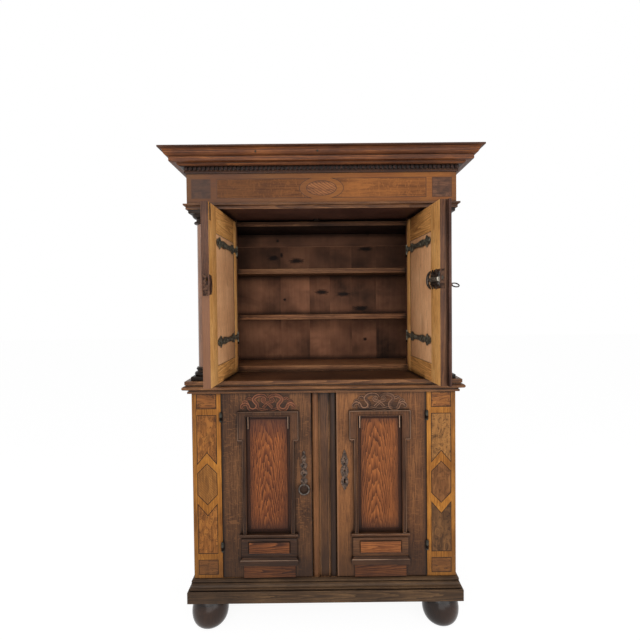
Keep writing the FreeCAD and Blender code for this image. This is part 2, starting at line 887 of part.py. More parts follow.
def build_upper_left_door(straps):
    """Make the left upper door with its straps, strike plate and top bolt."""
    side = -1
    members = upper_leaf(side)
    notches = [hinge[2] for hinge in straps[side]]
    members[0] = cut(members[0], notches)
    low = door_z + strike_low
    middle = door_thickness / 2
    strike = leaf_box(
        side, door_end - strike_thickness, door_end,
        middle - strike_width / 2, middle + strike_width / 2, low, low + strike_height,
    )
    x0, x1, t0, t1, z0, z1 = upper_bolt_space()
    gap = bolt_clearance
    reach = door_end - bolt_travel - 3
    mouth = leaf_box(side, reach, door_end + 1, t0 - gap, t1 + gap, z0 - gap, z1 + gap)
    s0 = door_end - top_bolt_set_in - top_bolt_width / 2
    s1 = s0 + top_bolt_width
    t0 = bolt_clearance
    bolt_top = door_top - 1
    bolt_low = bolt_top - top_bolt_length
    groove = leaf_box(
        side, s0 - gap, s1 + gap, -1, t0 + top_bolt_thickness + gap, bolt_low - finger_room, door_top + 1
    )
    members[1] = cut(members[1], [strike, mouth, groove])
    bolt = leaf_box(side, s0, s1, t0, t0 + top_bolt_thickness, bolt_low, bolt_top)
    frame = swing(side, members[:4])
    add("upper_left_door_frame", *frame)
    add("upper_left_door_panel", *swing(side, members[4:]))
    add("upper_left_strike", *swing(side, [strike.cut(mouth)]))
    add("upper_left_bolt", *swing(side, [bolt]))
    add("upper_left_straps", *swing(side, [hinge[0] for hinge in straps[side]]))
    centre = -opening_half + (s0 + s1) / 2
    keeper_y = upper_set_back - t0 - top_bolt_thickness - 1
    return box(
        centre - keeper_width / 2, centre + keeper_width / 2,
        keeper_y - keeper_thickness, keeper_y, soffit_z - keeper_height, soffit_z,
    )


def upper_bolt_space():
    """Return the drawn-in place of the upper lock's bolt: s, t and z from and to."""
    middle = (lock_body_depth + bolt_thickness) / 2
    z = door_z + lock_low + bolt_rise
    return door_end - bolt_length, door_end, middle - bolt_thickness, middle, z, z + bolt_height


def build_upper_right_door(straps):
    """Make the right upper door with its straps, cover strip, lock, bolt and key."""
    side = 1
    members = upper_leaf(side)
    members[0] = cut(members[0], [hinge[2] for hinge in straps[side]])
    low = door_z + lock_low
    high = low + lock_height
    body = leaf_box(side, door_end - lock_body_length, door_end, 0, lock_body_depth, low, high)
    key_s = door_end - key_set_in
    key_z = low + key_rise
    key_x = side * (opening_half - key_s)

    def along(radius, t0, t1):
        return cylinder(radius, t1 - t0, vec(key_x, upper_set_back - t1, key_z), back)

    members[1] = cut(members[1], [body, along(key_hole, lock_body_depth - 1, door_thickness + 1)])

    s0, s1, t0, t1, z0, z1 = upper_bolt_space()
    gap = bolt_clearance
    channel = leaf_box(side, s0 - 1, s1 + 1, t0 - gap, t1 + gap, z0 - gap, z1 + gap)
    plate_end = door_end - lock_length
    plate = front_plate([
        (side * (opening_half - door_end), low),
        (side * (opening_half - plate_end) - strap_lobe, low),
        (side * (opening_half - plate_end), (low + high) / 2),
        (side * (opening_half - plate_end) - strap_lobe, high),
        (side * (opening_half - door_end), high),
    ], upper_set_back, upper_set_back + lock_plate)
    case = cut(fuse([body, plate]), [
        channel,
        along(key_cavity, t0 - gap, lock_body_depth - lock_plate),
        along(key_radius + running_clearance, -lock_plate - 1, t0),
        along(key_hole, t0, lock_body_depth + 1),
    ])
    bolt = leaf_box(side, s0, s1, t0, t1, z0, z1)
    bow_t = door_thickness + key_stem + key_bow
    bit = box(
        key_x - key_bit_thickness / 2, key_x + key_bit_thickness / 2,
        upper_set_back - t0 - key_bit_length, upper_set_back - t0, key_z - key_bit, key_z,
    )
    key = fuse([
        along(key_radius, -lock_plate / 2, door_thickness + key_stem + key_wire),
        bit,
        Part.makeTorus(key_bow, key_wire, vec(key_x, upper_set_back - bow_t, key_z), vec(1, 0, 0)),
    ])
    key.rotate(vec(key_x, upper_set_back, key_z), back, key_rest_angle)
    strip_s = door_end + meeting_gap * 2 + strip_overlap
    seat = leaf_box(
        side, strip_s - strip_width, door_end, door_thickness, door_thickness + strip_thickness,
        door_z, door_top,
    )
    nose = leaf_box(
        side, door_end, strip_s, door_thickness + strip_clearance, door_thickness + strip_thickness,
        door_z, door_top,
    )
    add("upper_right_door_frame", *swing(side, members[:4]))
    add("upper_right_door_panel", *swing(side, members[4:]))
    add("upper_right_straps", *swing(side, [hinge[0] for hinge in straps[side]]))
    add("upper_right_cover_strip", *swing(side, [fuse([seat, nose])]))
    add("upper_lock_case", *swing(side, [case]))
    add("upper_lock_bolt", *swing(side, [bolt]))
    add("upper_key", *swing(side, [key]))


def lower_bolt_space():
    """Return the drawn-in place of the lower lock's bolt: x, y and z from and to."""
    middle = lower_door_thickness + lower_lock_depth / 2
    z = floor_z + keyhole_rise + keyhole_slot
    return (
        lower_free + 1, lower_free + 1 + bolt_length,
        middle - bolt_thickness / 2, middle + bolt_thickness / 2, z, z + bolt_height,
    )


def lower_leaf(side, mortises):
    """Return the hinge stile, free stile, top rail, bottom rail and panel of a lower door."""
    inner = ornament_x - panel_half
    outer = ornament_x + panel_half
    low = panel_z
    high = panel_top
    panel_y = lower_panel_recess
    tongue_y = panel_y + lower_panel_thickness / 2 - tongue / 2
    panel = fuse([
        box(side * inner, side * outer, panel_y, panel_y + lower_panel_thickness, low, high),
        box(
            side * (inner - tongue), side * (outer + tongue), tongue_y, tongue_y + tongue,
            low - tongue, high + tongue,
        ),
    ])
    members = [
        box(side * outer, side * lower_edge, 0, lower_door_thickness, lower_door_z, lower_door_top),
        box(side * lower_free, side * inner, 0, lower_door_thickness, lower_door_z, lower_door_top),
        box(side * inner, side * outer, 0, lower_door_thickness, high, lower_door_top),
        box(side * inner, side * outer, 0, lower_door_thickness, lower_door_z, low),
    ]
    members[0] = cut(members[0], mortises)
    return [cut(member, [panel]) for member in members] + [panel]


def door_ornament(side):
    """Return the applied pieces on a lower door: eared frame, crest, mouldings, block and board."""
    x = side * ornament_x
    low = panel_z
    high = panel_top
    front = -eared_thickness
    crest_half = panel_half + crest_reach
    ear_half = panel_half + ear_width
    parts = [box(x - ear_half, x + ear_half, front, 0, high, high + eared_top)]
    for way in (-1, 1):
        inner = x + way * panel_half
        parts.append(box(inner, inner + way * ear_width, front, 0, high - ear_height, high))
        parts.append(box(inner, inner + way * eared_width, front, 0, low, high - ear_height))
    crest_z = high + eared_top
    bar = box(x - crest_half, x + crest_half, -crest_thickness, 0, crest_z, crest_z + crest_bar)
    volutes = [
        cylinder(
            volute_radius, crest_thickness,
            vec(x + way * (crest_half - volute_radius) * share, -crest_thickness, crest_z + volute_radius),
            back,
        )
        for way in (-1, 1) for share in (1.0, 0.4)
    ]
    heart = box(x - volute_radius, x + volute_radius, -crest_thickness, 0, crest_z, crest_z + crest_height)
    parts.append(fuse([bar, heart] + volutes))

    top = low
    for height, reach, depth in (
        (ledge_moulding_height, ledge_moulding_reach, ledge_moulding_depth),
        (block_rise, block_reach_out, block_depth),
        (foot_moulding_height, ledge_moulding_reach, ledge_moulding_depth),
    ):
        width = panel_half + reach
        parts.append(box(x - width, x + width, -depth, 0, top - height, top))
        top -= height
    foot_half = panel_half + foot_board_reach
    field_half = panel_half - field_margin
    parts.append(box(x - foot_half, x + foot_half, -foot_board_depth, 0, lower_door_z, top))
    block_mid = low - ledge_moulding_height - block_rise / 2
    parts.append(box(
        x - field_half, x + field_half, -block_depth - field_depth, -block_depth,
        block_mid - field_height / 2, block_mid + field_height / 2,
    ))
    return parts


def build_lower_left_door(hinges):
    """Make the left lower door with its ornament, hinge halves, pull plate and ring."""
    side = -1
    members = lower_leaf(side, [hinge[3] for hinge in hinges[side]])
    add("lower_left_door_frame", *members[:4])
    add("lower_left_door_panel", members[4])
    add("lower_left_ornament", *door_ornament(side))
    add("lower_left_hinges", *[hinge[1] for hinge in hinges[side]])

    x = side * hardware_x
    low = floor_z + pull_plate_low
    eye_z = floor_z + eye_rise
    plate = box(
        x - pull_plate_width / 2, x + pull_plate_width / 2, -plate_thickness, 0, low, low + pull_plate_height
    )
    rose = cylinder(pull_plate_width / 2, plate_thickness, vec(x, -plate_thickness, eye_z), back)
    length = eye_stand_off + eye_radius
    post = cylinder(eye_radius, length, vec(x, -length, eye_z), back)
    eye = cylinder(
        ring_wire + eye_clearance, 4 * eye_radius,
        vec(x - 2 * eye_radius, -eye_stand_off, eye_z), vec(1, 0, 0),
    )
    add("pull_plate", fuse([plate, rose, post]).cut(eye).Solids[0])
    ring_z = eye_z - ring_radius
    add("pull_ring", Part.makeTorus(ring_radius, ring_wire, vec(x, -eye_stand_off, ring_z), back))


def build_lower_right_door(hinges):
    """Make the right lower door with its ornament, hinge halves, keyhole plate, lock and bolt."""
    side = 1
    members = lower_leaf(side, [hinge[3] for hinge in hinges[side]])
    x = side * hardware_x
    key_z = floor_z + keyhole_rise
    reach = lower_door_thickness + lower_lock_depth + plate_thickness
    keyhole = fuse([
        cylinder(keyhole_radius, reach, vec(x, -plate_thickness - 1, key_z), back),
        box(
            x - keyhole_radius / 2, x + keyhole_radius / 2,
            -plate_thickness - 1, reach - plate_thickness - 1, key_z - keyhole_slot, key_z,
        ),
    ])
    members[1] = members[1].cut(keyhole)
    add("lower_right_door_frame", *members[:4])
    add("lower_right_door_panel", members[4])
    add("lower_right_ornament", *door_ornament(side))
    add("lower_right_hinges", *[hinge[1] for hinge in hinges[side]])
    low = floor_z + keyhole_plate_low
    plate = box(
        x - keyhole_plate_width / 2, x + keyhole_plate_width / 2, -plate_thickness, 0,
        low, low + keyhole_plate_height,
    )
    add("keyhole_plate", plate.cut(keyhole))

    x0, x1, y0, y1, z0, z1 = lower_bolt_space()
    gap = bolt_clearance
    inner = lower_door_thickness
    case_x = lower_free + lower_lock_wall
    case_z = key_z - lower_lock_height / 2
    case_top = case_z + lower_lock_height
    case = box(case_x, case_x + lower_lock_length, inner, inner + lower_lock_depth, case_z, case_top)
    channel = box(x0 - 1, x1 + 1, y0 - gap, y1 + gap, z0 - gap, z1 + gap)
    add("lower_lock_case", cut(case, [channel, keyhole]))
    add("lower_lock_bolt", box(x0, x1, y0, y1, z0, z1))


def export_pieces():
    """Move every piece so that the origin lies under the middle of the whole, and write the files."""
    os.makedirs("parts", exist_ok=True)
    whole = Part.makeCompound([solid for solids in pieces.values() for solid in solids]).BoundBox
    shift = vec(0, -(whole.YMin + whole.YMax) / 2, 0)
    for name, solids in pieces.items():
        shape = solids[0] if len(solids) == 1 else Part.makeCompound(solids)
        shape.translate(shift)
        shape.exportStep(f"parts/{name}.step")
    print("moved along y by", round(shift.y, 4), "size", whole.XLength, whole.YLength, whole.ZLength)


def main():
    """Build the whole cupboard."""
    hinge_levels = (floor_z + lower_hinge_rise, waist_z - lower_hinge_drop)
    strap_levels = (door_z + strap_rise, door_top - strap_drop)
    hinges = {side: [lower_hinge(side, z) for z in hinge_levels] for side in (-1, 1)}
    straps = {side: [strap_parts(side, z) for z in strap_levels] for side in (-1, 1)}
    build_base()
    bands, burl = build_lower_case(hinges)
    build_waist()
    build_upper_case(straps)
    build_columns()
    build_frieze(bands, burl)
    build_cornice()
    keeper = build_upper_left_door(straps)
    build_upper_right_door(straps)
    build_lower_left_door(hinges)
    build_lower_right_door(hinges)
    ironwork = [hinge[0] for pair in hinges.values() for hinge in pair]
    ironwork += [hinge[1] for pair in straps.values() for hinge in pair]
    add("case_ironwork", *ironwork, keeper)
    export_pieces()


main()
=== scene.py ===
import json
import logging
import math
import random
from dataclasses import dataclass
from enum import Enum
from typing import Any, Callable, Iterable, Optional, Sequence, Union

import bmesh
import bpy
from mathutils import Matrix, Vector


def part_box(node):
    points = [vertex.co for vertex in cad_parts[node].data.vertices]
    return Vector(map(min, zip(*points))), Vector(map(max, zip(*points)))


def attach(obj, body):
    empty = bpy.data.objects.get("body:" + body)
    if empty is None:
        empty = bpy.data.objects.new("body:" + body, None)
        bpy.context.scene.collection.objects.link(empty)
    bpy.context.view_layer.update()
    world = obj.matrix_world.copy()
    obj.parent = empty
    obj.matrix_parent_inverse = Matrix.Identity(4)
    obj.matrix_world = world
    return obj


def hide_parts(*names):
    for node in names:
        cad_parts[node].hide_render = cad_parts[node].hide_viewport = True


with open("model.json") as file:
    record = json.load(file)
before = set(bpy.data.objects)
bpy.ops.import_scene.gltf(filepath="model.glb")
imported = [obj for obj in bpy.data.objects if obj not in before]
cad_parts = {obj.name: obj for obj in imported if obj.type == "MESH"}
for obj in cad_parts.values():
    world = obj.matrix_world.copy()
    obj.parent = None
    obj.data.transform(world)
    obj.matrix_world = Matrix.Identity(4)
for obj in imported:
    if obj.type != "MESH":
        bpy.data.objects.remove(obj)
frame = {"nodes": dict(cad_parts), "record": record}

LOG = logging.getLogger("cupboard")
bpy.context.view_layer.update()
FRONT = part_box("lower_bottom")[0][1]
RECORD = frame["record"]
BODY_OF = {node: body for body, nodes in RECORD["behaviour"]["bodies"].items() for node in nodes}
SLOT_OF = {part["node"]: part["material_slot"] for part in RECORD["subparts"]}
# The millimetres in a metre, and the kinds of values that are passed about.
MM = 1000
Piece = bpy.types.Object
Pair = tuple[float, float]
Pairs = tuple[Pair, ...]
Triple = tuple[float, float, float]
Colour = tuple[float, float, float, float]
Shade = Callable[[Vector], float]


class Side(Enum):
    """A side of the cupboard, seen from the front."""

    LEFT = -1
    RIGHT = 1

    @property
    def label(self) -> str:
        """Return the word for the side in the names of pieces."""
        return self.name.lower()


class Way(Enum):
    """A direction of the cupboard, by its place in a vector."""

    ACROSS = 0
    UP = 2


def at(x: float, y: float, z: float) -> Vector:
    """Return a point of the cupboard in metres.

    Args:
        x: Millimetres to the right of the middle.
        y: Millimetres behind the front of the lower case.
        z: Millimetres above the floor.

    Returns:
        The point in the shared frame.
    """
    return Vector((x / MM, FRONT + y / MM, z / MM))


def rgb(red: int, green: int, blue: int) -> Colour:
    """Return a colour from its red, green and blue as seen, each up to 255."""
    parts = []
    for value in (red, green, blue):
        share = value / 255
        parts.append(share / 12.92 if share <= 0.04045 else ((share + 0.055) / 1.055) ** 2.4)
    return (parts[0], parts[1], parts[2], 1.0)


def corners(points: Sequence[Vector]) -> tuple[Vector, Vector]:
    """Return the lowest and the highest corner of the box round some points."""
    low = Vector([min(point[axis] for point in points) for axis in range(3)])
    high = Vector([max(point[axis] for point in points) for axis in range(3)])
    return low, high


# Dark colours for knots and grime, each also laid on as painted shade, the middle of a lower door, how far
# the upper doors stand open, the usual eased edge.
KNOT_AND_SHADE = rgb(22, 15, 13)
DIRT_AND_SHADE = rgb(32, 23, 19)
SOOT_AND_SHADE = rgb(20, 13, 10)
DOOR_MIDDLE = 232.7
LEFT_TURN = 93.27
RIGHT_TURN = 95.42
EASE = 0.0012


class Signal:
    """A shader socket that takes part in sums."""

    def __init__(self, shader: "Shader", socket: bpy.types.NodeSocket) -> None:
        """Wrap a socket of a shader's tree."""
        self.shader = shader
        self.socket = socket

    def _math(self, operation: str, first: "Operand", second: "Operand") -> "Signal":
        """Return a Math node's output for two operands."""
        return self.shader.node("Math", {"operation": operation}, {0: first, 1: second})

    def __add__(self, other: "Operand") -> "Signal":
        """Return the sum."""
        return self._math("ADD", self, other)

    __radd__ = __add__

    def __sub__(self, other: "Operand") -> "Signal":
        """Return the difference."""
        return self._math("SUBTRACT", self, other)

    def __rsub__(self, other: "Operand") -> "Signal":
        """Return the reflected difference."""
        return self._math("SUBTRACT", other, self)

    def __mul__(self, other: "Operand") -> "Signal":
        """Return the product."""
        return self._math("MULTIPLY", self, other)

    __rmul__ = __mul__

    def __abs__(self) -> "Signal":
        """Return the size without the sign."""
        return self._math("ABSOLUTE", self, 0.0)

    def least(self, other: "Operand") -> "Signal":
        """Return the smaller of the two."""
        return self._math("MINIMUM", self, other)

    def most(self, other: "Operand") -> "Signal":
        """Return the larger of the two."""
        return self._math("MAXIMUM", self, other)

    def ease(self, low: float, high: float) -> "Signal":
        """Return a soft step from 0 at one value to 1 at another.

        Args:
            low: The value where the step starts.
            high: The value where it ends.

        Returns:
            The step.
        """
        settings = {"interpolation_type": "SMOOTHSTEP"}
        return self.shader.node("MapRange", settings, {0: self, 1: low, 2: high})


Operand = Union[Signal, float]


class Shader:
    """The nodes of one material, or of the world."""

    def __init__(self, owner: Union[bpy.types.Material, bpy.types.World]) -> None:
        """Start an empty tree with its output node."""
        owner.use_nodes = True
        self.owner = owner
        self.tree = owner.node_tree
        self.tree.nodes.clear()
        kind = "World" if isinstance(owner, bpy.types.World) else "Material"
        self.output = self.tree.nodes.new(f"ShaderNodeOutput{kind}")

    def node(
        self, kind: str, settings: Optional[dict[str, Any]] = None,
        inputs: Optional[dict[Union[int, str], Any]] = None, output: Union[int, str] = 0,
    ) -> Signal:
        """Add a node.

        Args:
            kind: The node's type, after the word that all have in front.
            settings: Its own settings, and the stops of a ramp under the name stops.
            inputs: Values or signals for its sockets.
            output: The socket that is returned.

        Returns:
            The chosen output.
        """
        made = self.tree.nodes.new(f"ShaderNode{kind}")
        for name, value in (settings or {}).items():
            if name == "stops":
                ramp = made.color_ramp
                while len(ramp.elements) < len(value):
                    ramp.elements.new(1.0)
                for element, (place, colour) in zip(ramp.elements, value):
                    element.position = place
                    element.color = colour
            else:
                setattr(made, name, value)
        for key, value in (inputs or {}).items():
            if isinstance(value, Signal):
                self.tree.links.new(value.socket, made.inputs[key])
            else:
                made.inputs[key].default_value = value
        return Signal(self, made.outputs[output])

    def mix(self, share: Operand, first: Any, second: Any) -> Signal:
        """Return a mixture of two colours."""
        return self.node("Mix", {"data_type": "RGBA"}, {0: share, 6: first, 7: second}, 2)

    def stretch(self, vector: Signal, scale: Sequence[float]) -> Signal:
        """Return a vector with each part multiplied by its own number."""
        return self.node("VectorMath", {"operation": "MULTIPLY"}, {0: vector, 1: tuple(scale)})

    def noise(self, vector: Signal, scale: float, detail: float = 3.0, warp: float = 0.0) -> Signal:
        """Return a cloudy value from 0 to 1."""
        inputs = {"Vector": vector, "Scale": scale, "Detail": detail, "Distortion": warp}
        return self.node("TexNoise", None, inputs)

    def spot(self) -> Signal:
        """Return the place of the surface in the cupboard's frame."""
        return self.node("TexCoord", None, None, "Object")

    def attribute(self, name: str, output: str = "Vector") -> Signal:
        """Return what is written on the mesh under a name."""
        return self.node("Attribute", {"attribute_name": name}, None, output)

    def parts(self, vector: Signal) -> list[Signal]:
        """Return the x, y and z of a vector."""
        first = self.node("SeparateXYZ", None, {0: vector})
        return [Signal(self, socket) for socket in first.socket.node.outputs]

    def place(self) -> list[Signal]:
        """Return the x, y and z of the surface in the cupboard's frame."""
        return self.parts(self.spot())

    def fraction(self, value: Signal) -> Signal:
        """Return what is left of a value over a whole number."""
        return self.node("Math", {"operation": "FRACT"}, {0: value})

    def bump(self, height: Signal, strength: float, depth: float) -> Signal:
        """Return the normal of an uneven surface.

        Args:
            height: The unevenness, about 0 to 1.
            strength: How much of it shows.
            depth: How deep it is in metres.

        Returns:
            The normal.
        """
        inputs = {"Strength": strength, "Distance": depth, "Height": height}
        return self.node("Bump", None, inputs)

    def recess(self, reach: float) -> Signal:
        """Return how far a spot is shut in by what stands within a reach, from 0 to 1."""
        settings = {"samples": 8}
        return 1.0 - self.node("AmbientOcclusion", settings, {"Distance": reach}, "AO")

    def show(self, surface: Signal) -> None:
        """Link a surface to the output."""
        self.tree.links.new(surface.socket, self.output.inputs["Surface"])

    def close(self, **inputs: Any) -> bpy.types.Material:
        """Finish the material with one Principled shader.

        Args:
            inputs: Values or signals of its sockets, with spaces of their names as underscores.

        Returns:
            The material.
        """
        named = {key.replace("_", " "): value for key, value in inputs.items()}
        self.show(self.node("BsdfPrincipled", None, named))
        return self.owner


@dataclass(frozen=True)
class Fade:
    """A change of colour along one direction of the cupboard.

    It grows from start to end, falls off again at stop, and holds only above a level.
    """

    way: Way
    start: float
    end: float
    share: float
    colour: Colour
    mirrored: bool = False
    stop: Optional[float] = None
    above: Optional[float] = None
    stop_width: float = 0.003
    above_width: float = 0.02

    def lay(self, shader: Shader, colour: Signal) -> Signal:
        """Return a colour with the change laid over it."""
        spot = shader.place()
        place = spot[self.way.value]
        if self.mirrored:
            place = abs(place)
        mask = place.ease(self.start, self.end) * self.share
        if self.stop is not None:
            mask = mask * (1.0 - place.ease(self.stop, self.stop + self.stop_width))
        if self.above is not None:
            mask = mask * spot[Way.UP.value].ease(self.above, self.above + self.above_width)
        return shader.mix(mask, colour, self.colour)


@dataclass(frozen=True)
class Finish:
    """What covers a piece."""

    name: str

    def material(self) -> bpy.types.Material:
        """Return the material, made on first use."""
        known = bpy.data.materials.get(self.name)
        return known or self.make(Shader(bpy.data.materials.new(self.name)))

    def make(self, shader: Shader) -> bpy.types.Material:
        """Return the material of a new shader."""
        raise NotImplementedError


@dataclass(frozen=True)
class Wood(Finish):
    """A waxed wood, whose grain follows each board."""

    dark: Colour
    middle: Colour
    light: Colour
    worn: Colour
    ring_share: float = 0.35
    ring_scale: float = 60.0
    ring_warp: float = 3.0
    ring_detail: float = 2.2
    slope: float = 0.03
    heart: float = 0.0
    stain: float = 0.0
    streak_share: float = 0.5
    pore_share: float = 0.6
    patch_share: float = 0.4
    fleck: float = 0.0
    knots: float = 0.0
    knot_scale: Triple = (3.2, 8.0, 0.2)
    roughness: float = 0.46
    gloss: float = 0.16
    coat: float = 0.03
    wear: float = 0.7
    grime: float = 0.75
    contrast: float = 1.1
    fades: tuple[Fade, ...] = ()
    streak_scale: Triple = (4.0, 130.0, 130.0)
    hair_scale: Triple = (14.0, 420.0, 420.0)
    pore_scale: Triple = (30.0, 900.0, 900.0)
    fleck_scale: Triple = (95.0, 34.0, 190.0)
    stain_scale: Triple = (7.0, 3.0, 3.0)
    patch_scale: float = 5.0
    rare_scale: float = 3.1
    soot_reach: float = 0.035
    rubbed_from: float = 1.5
    bump_strength: float = 0.3
    bump_depth: float = 0.0008
    coat_roughness: float = 0.3

    def tint(self, shader: Shader, colour: Signal) -> Signal:
        """Return the colour with its changes over the cupboard."""
        for fade in self.fades:
            colour = fade.lay(shader, colour)
        return colour

    def make(self, shader: Shader) -> bpy.types.Material:
        """Return the material of a new shader."""
        lift, seed, _ = shader.parts(shader.attribute("board"))
        edge = shader.attribute("edge", "Fac")
        along, across, depth = shader.parts(shader.attribute("grain"))
        heartwood = depth + along * self.slope + self.heart
        log = shader.node("CombineXYZ", None, {0: along * 0.1, 1: across, 2: heartwood})
        rings = shader.node(
            "TexWave",
            {"wave_type": "RINGS", "rings_direction": "X", "wave_profile": "SAW"},
            {
                "Vector": log, "Scale": self.ring_scale, "Distortion": self.ring_warp, "Detail": 3.0,
                "Detail Scale": self.ring_detail, "Detail Roughness": 0.6,
            },
            "Fac",
        )
        spot = shader.node("CombineXYZ", None, {0: along + seed, 1: across + seed, 2: depth})
        streaks = shader.noise(shader.stretch(spot, self.streak_scale), 1.0, 4.0, 0.6)
        hairs = shader.noise(shader.stretch(spot, self.hair_scale), 1.0, 3.0, 0.4)
        patches = shader.noise(spot, self.patch_scale, 4.0)
        pores = shader.noise(shader.stretch(spot, self.pore_scale), 1.0, 2.0)
        value = (streaks - 0.5) * self.streak_share + (hairs - 0.5) * self.streak_share
        value = value + (rings - 0.5) * self.ring_share
        value = value + (patches - 0.5) * (self.patch_share * 2.0) + lift
        value = value * self.contrast + 0.5
        stops = ((0.1, self.dark), (0.5, self.middle), (0.9, self.light))
        colour = shader.node("ValToRGB", {"stops": stops}, {0: value})
        colour = shader.mix(pores.ease(0.53, 0.66) * self.pore_share, colour, self.dark)
        if self.fleck:
            rays = shader.noise(shader.stretch(spot, self.fleck_scale), 1.0, 2.0, 1.6)
            colour = shader.mix(rays.ease(0.54, 0.66) * self.fleck, colour, self.light)
        if self.knots:
            cells = shader.node(
                "TexVoronoi", None,
                {"Vector": shader.stretch(spot, self.knot_scale), "Scale": 1.0, "Randomness": 1.0},
            )
            cells = cells * (hairs + 0.5)
            rare = shader.noise(spot, self.rare_scale, 2.0).ease(0.4, 0.5)
            colour = shader.mix((1.0 - cells.ease(0.03, 0.27)) * rare * self.knots, colour, self.dark)
        if self.stain:
            blots = shader.noise(shader.stretch(spot, self.stain_scale), 1.0, 4.0, 1.0)
            colour = shader.mix(blots.ease(0.5, 0.72) * self.stain, colour, self.dark)
        colour = self.tint(shader, colour)
        # Darker in recesses within the recess reach: partly grime and partly painted shade.
        soot_and_shade = shader.recess(self.soot_reach).ease(0.08, 0.5) * self.grime
        colour = shader.mix(soot_and_shade, colour, SOOT_AND_SHADE)
        # Eased edges worn light; a mark past the highlight threshold shows in full, a painted highlight.
        wear_and_highlight = edge * patches.ease(0.3, 0.58).most(edge - self.rubbed_from) * self.wear
        colour = shader.mix(wear_and_highlight, colour, self.worn)
        height = pores * 0.5 + rings * 0.3 + streaks * 0.5
        return shader.close(
            Base_Color=colour, Roughness=streaks * 0.22 + (self.roughness - 0.11),
            Normal=shader.bump(height, self.bump_strength, self.bump_depth),
            Specular_IOR_Level=self.gloss, Coat_Weight=self.coat, Coat_Roughness=self.coat_roughness,
        )


@dataclass(frozen=True)
class PanelWood(Wood):
    """The flame-figured wood of the lower door panels, dark towards their margins."""

    centre: float = DOOR_MIDDLE / MM
    half_width: float = 0.078
    low: float = 0.427
    high: float = 0.886
    rim: Colour = rgb(56, 33, 25)
    foot_reach: float = 0.07
    foot_share: float = 0.6
    margin_reach: float = 0.030
    margin_share: float = 0.4
    edge_reach: float = 0.002
    edge_share: float = 0.5

    def tint(self, shader: Shader, colour: Signal) -> Signal:
        """Return the colour, darkened outside the raised field and at its foot."""
        colour = super().tint(shader, colour)
        x, _, z = shader.place()
        beside = abs(abs(x) - self.centre) - self.half_width
        above = (z - self.high).most(self.low - z)
        outside = beside.most(above)
        foot = 1.0 - z.ease(self.low, self.low + self.foot_reach)
        colour = shader.mix(foot * self.foot_share, colour, self.rim)
        margin = outside.ease(-self.margin_reach, self.edge_reach)
        colour = shader.mix(margin * self.margin_share, colour, self.rim)
        edge = outside.ease(-self.edge_reach / 2, self.edge_reach)
        return shader.mix(edge * self.edge_share, colour, self.rim)


@dataclass(frozen=True)
class DoorWood(Wood):
    """The lower doors' oak, darker in the ground round the crest, with a painted shadow of the pull ring."""

    centre: float = DOOR_MIDDLE / MM
    half: float = 0.112
    low: float = 0.928
    high: float = 0.978
    fall: float = 0.03
    rise: float = 0.01
    crest_share: float = 0.65
    grip: Optional[Pair] = None
    grip_reach: float = 0.034
    grip_share: float = 0.75

    def tint(self, shader: Shader, colour: Signal) -> Signal:
        """Return the colour, darkened round the crest, with a painted shadow round the pull ring."""
        colour = super().tint(shader, colour)
        x, _, z = shader.place()
        beside = 1.0 - abs(abs(x) - self.centre).ease(self.half - self.fall, self.half)
        level = z.ease(self.low - self.rise, self.low) * (1.0 - z.ease(self.high - self.fall, self.high))
        colour = shader.mix(beside * level * self.crest_share, colour, DIRT_AND_SHADE)
        # Painted shadow of the pull ring on the door.
        if self.grip:
            aside = x - self.grip[0]
            above = z - self.grip[1]
            near = aside * aside + above * above
            colour = shader.mix(near.ease(self.grip_reach ** 2, 0.0) * self.grip_share, colour, DIRT_AND_SHADE)
        return colour


@dataclass(frozen=True)
class KnottyPine(Wood):
    """The pine of the upper back, with the knots that show between the shelves.

    Each knot has its place across and up, its half width and its half height in metres.
    """

    spots: tuple[tuple[float, float, float, float], ...] = (
        (-0.252, 1.613, 0.034, 0.019), (-0.130, 1.597, 0.043, 0.017), (-0.209, 1.628, 0.009, 0.015),
        (-0.001, 1.432, 0.040, 0.015), (0.115, 1.421, 0.042, 0.014), (0.207, 1.345, 0.046, 0.016),
        (0.244, 1.736, 0.012, 0.012), (0.233, 1.655, 0.043, 0.013), (-0.229, 1.702, 0.009, 0.009),
        (-0.194, 1.394, 0.009, 0.009), (0.226, 1.182, 0.012, 0.009),
    )
    ragged_scale: Triple = (45.0, 1.0, 190.0)
    far: float = 9.0
    knot_share: float = 0.95

    def tint(self, shader: Shader, colour: Signal) -> Signal:
        """Return the colour with ragged knots and the changes over the cupboard."""
        x, _, z = shader.place()
        flat = shader.node("CombineXYZ", None, {0: x, 2: z})
        ragged = shader.noise(shader.stretch(flat, self.ragged_scale), 1.0, 3.0, 1.0)
        nearest: Operand = self.far
        for across, level, wide, tall in self.spots:
            ends = {0: flat, 1: (across, 0.0, level)}
            away = shader.node("VectorMath", {"operation": "SUBTRACT"}, ends)
            away = shader.stretch(away, (1.0 / wide, 1.0, 1.0 / tall))
            reach = shader.node("VectorMath", {"operation": "LENGTH"}, {0: away}, "Value")
            nearest = reach.least(nearest)
        knot = (nearest * (ragged * 2.0 + 0.1)).ease(1.25, 0.4)
        return super().tint(shader, shader.mix(knot * self.knot_share, colour, KNOT_AND_SHADE))


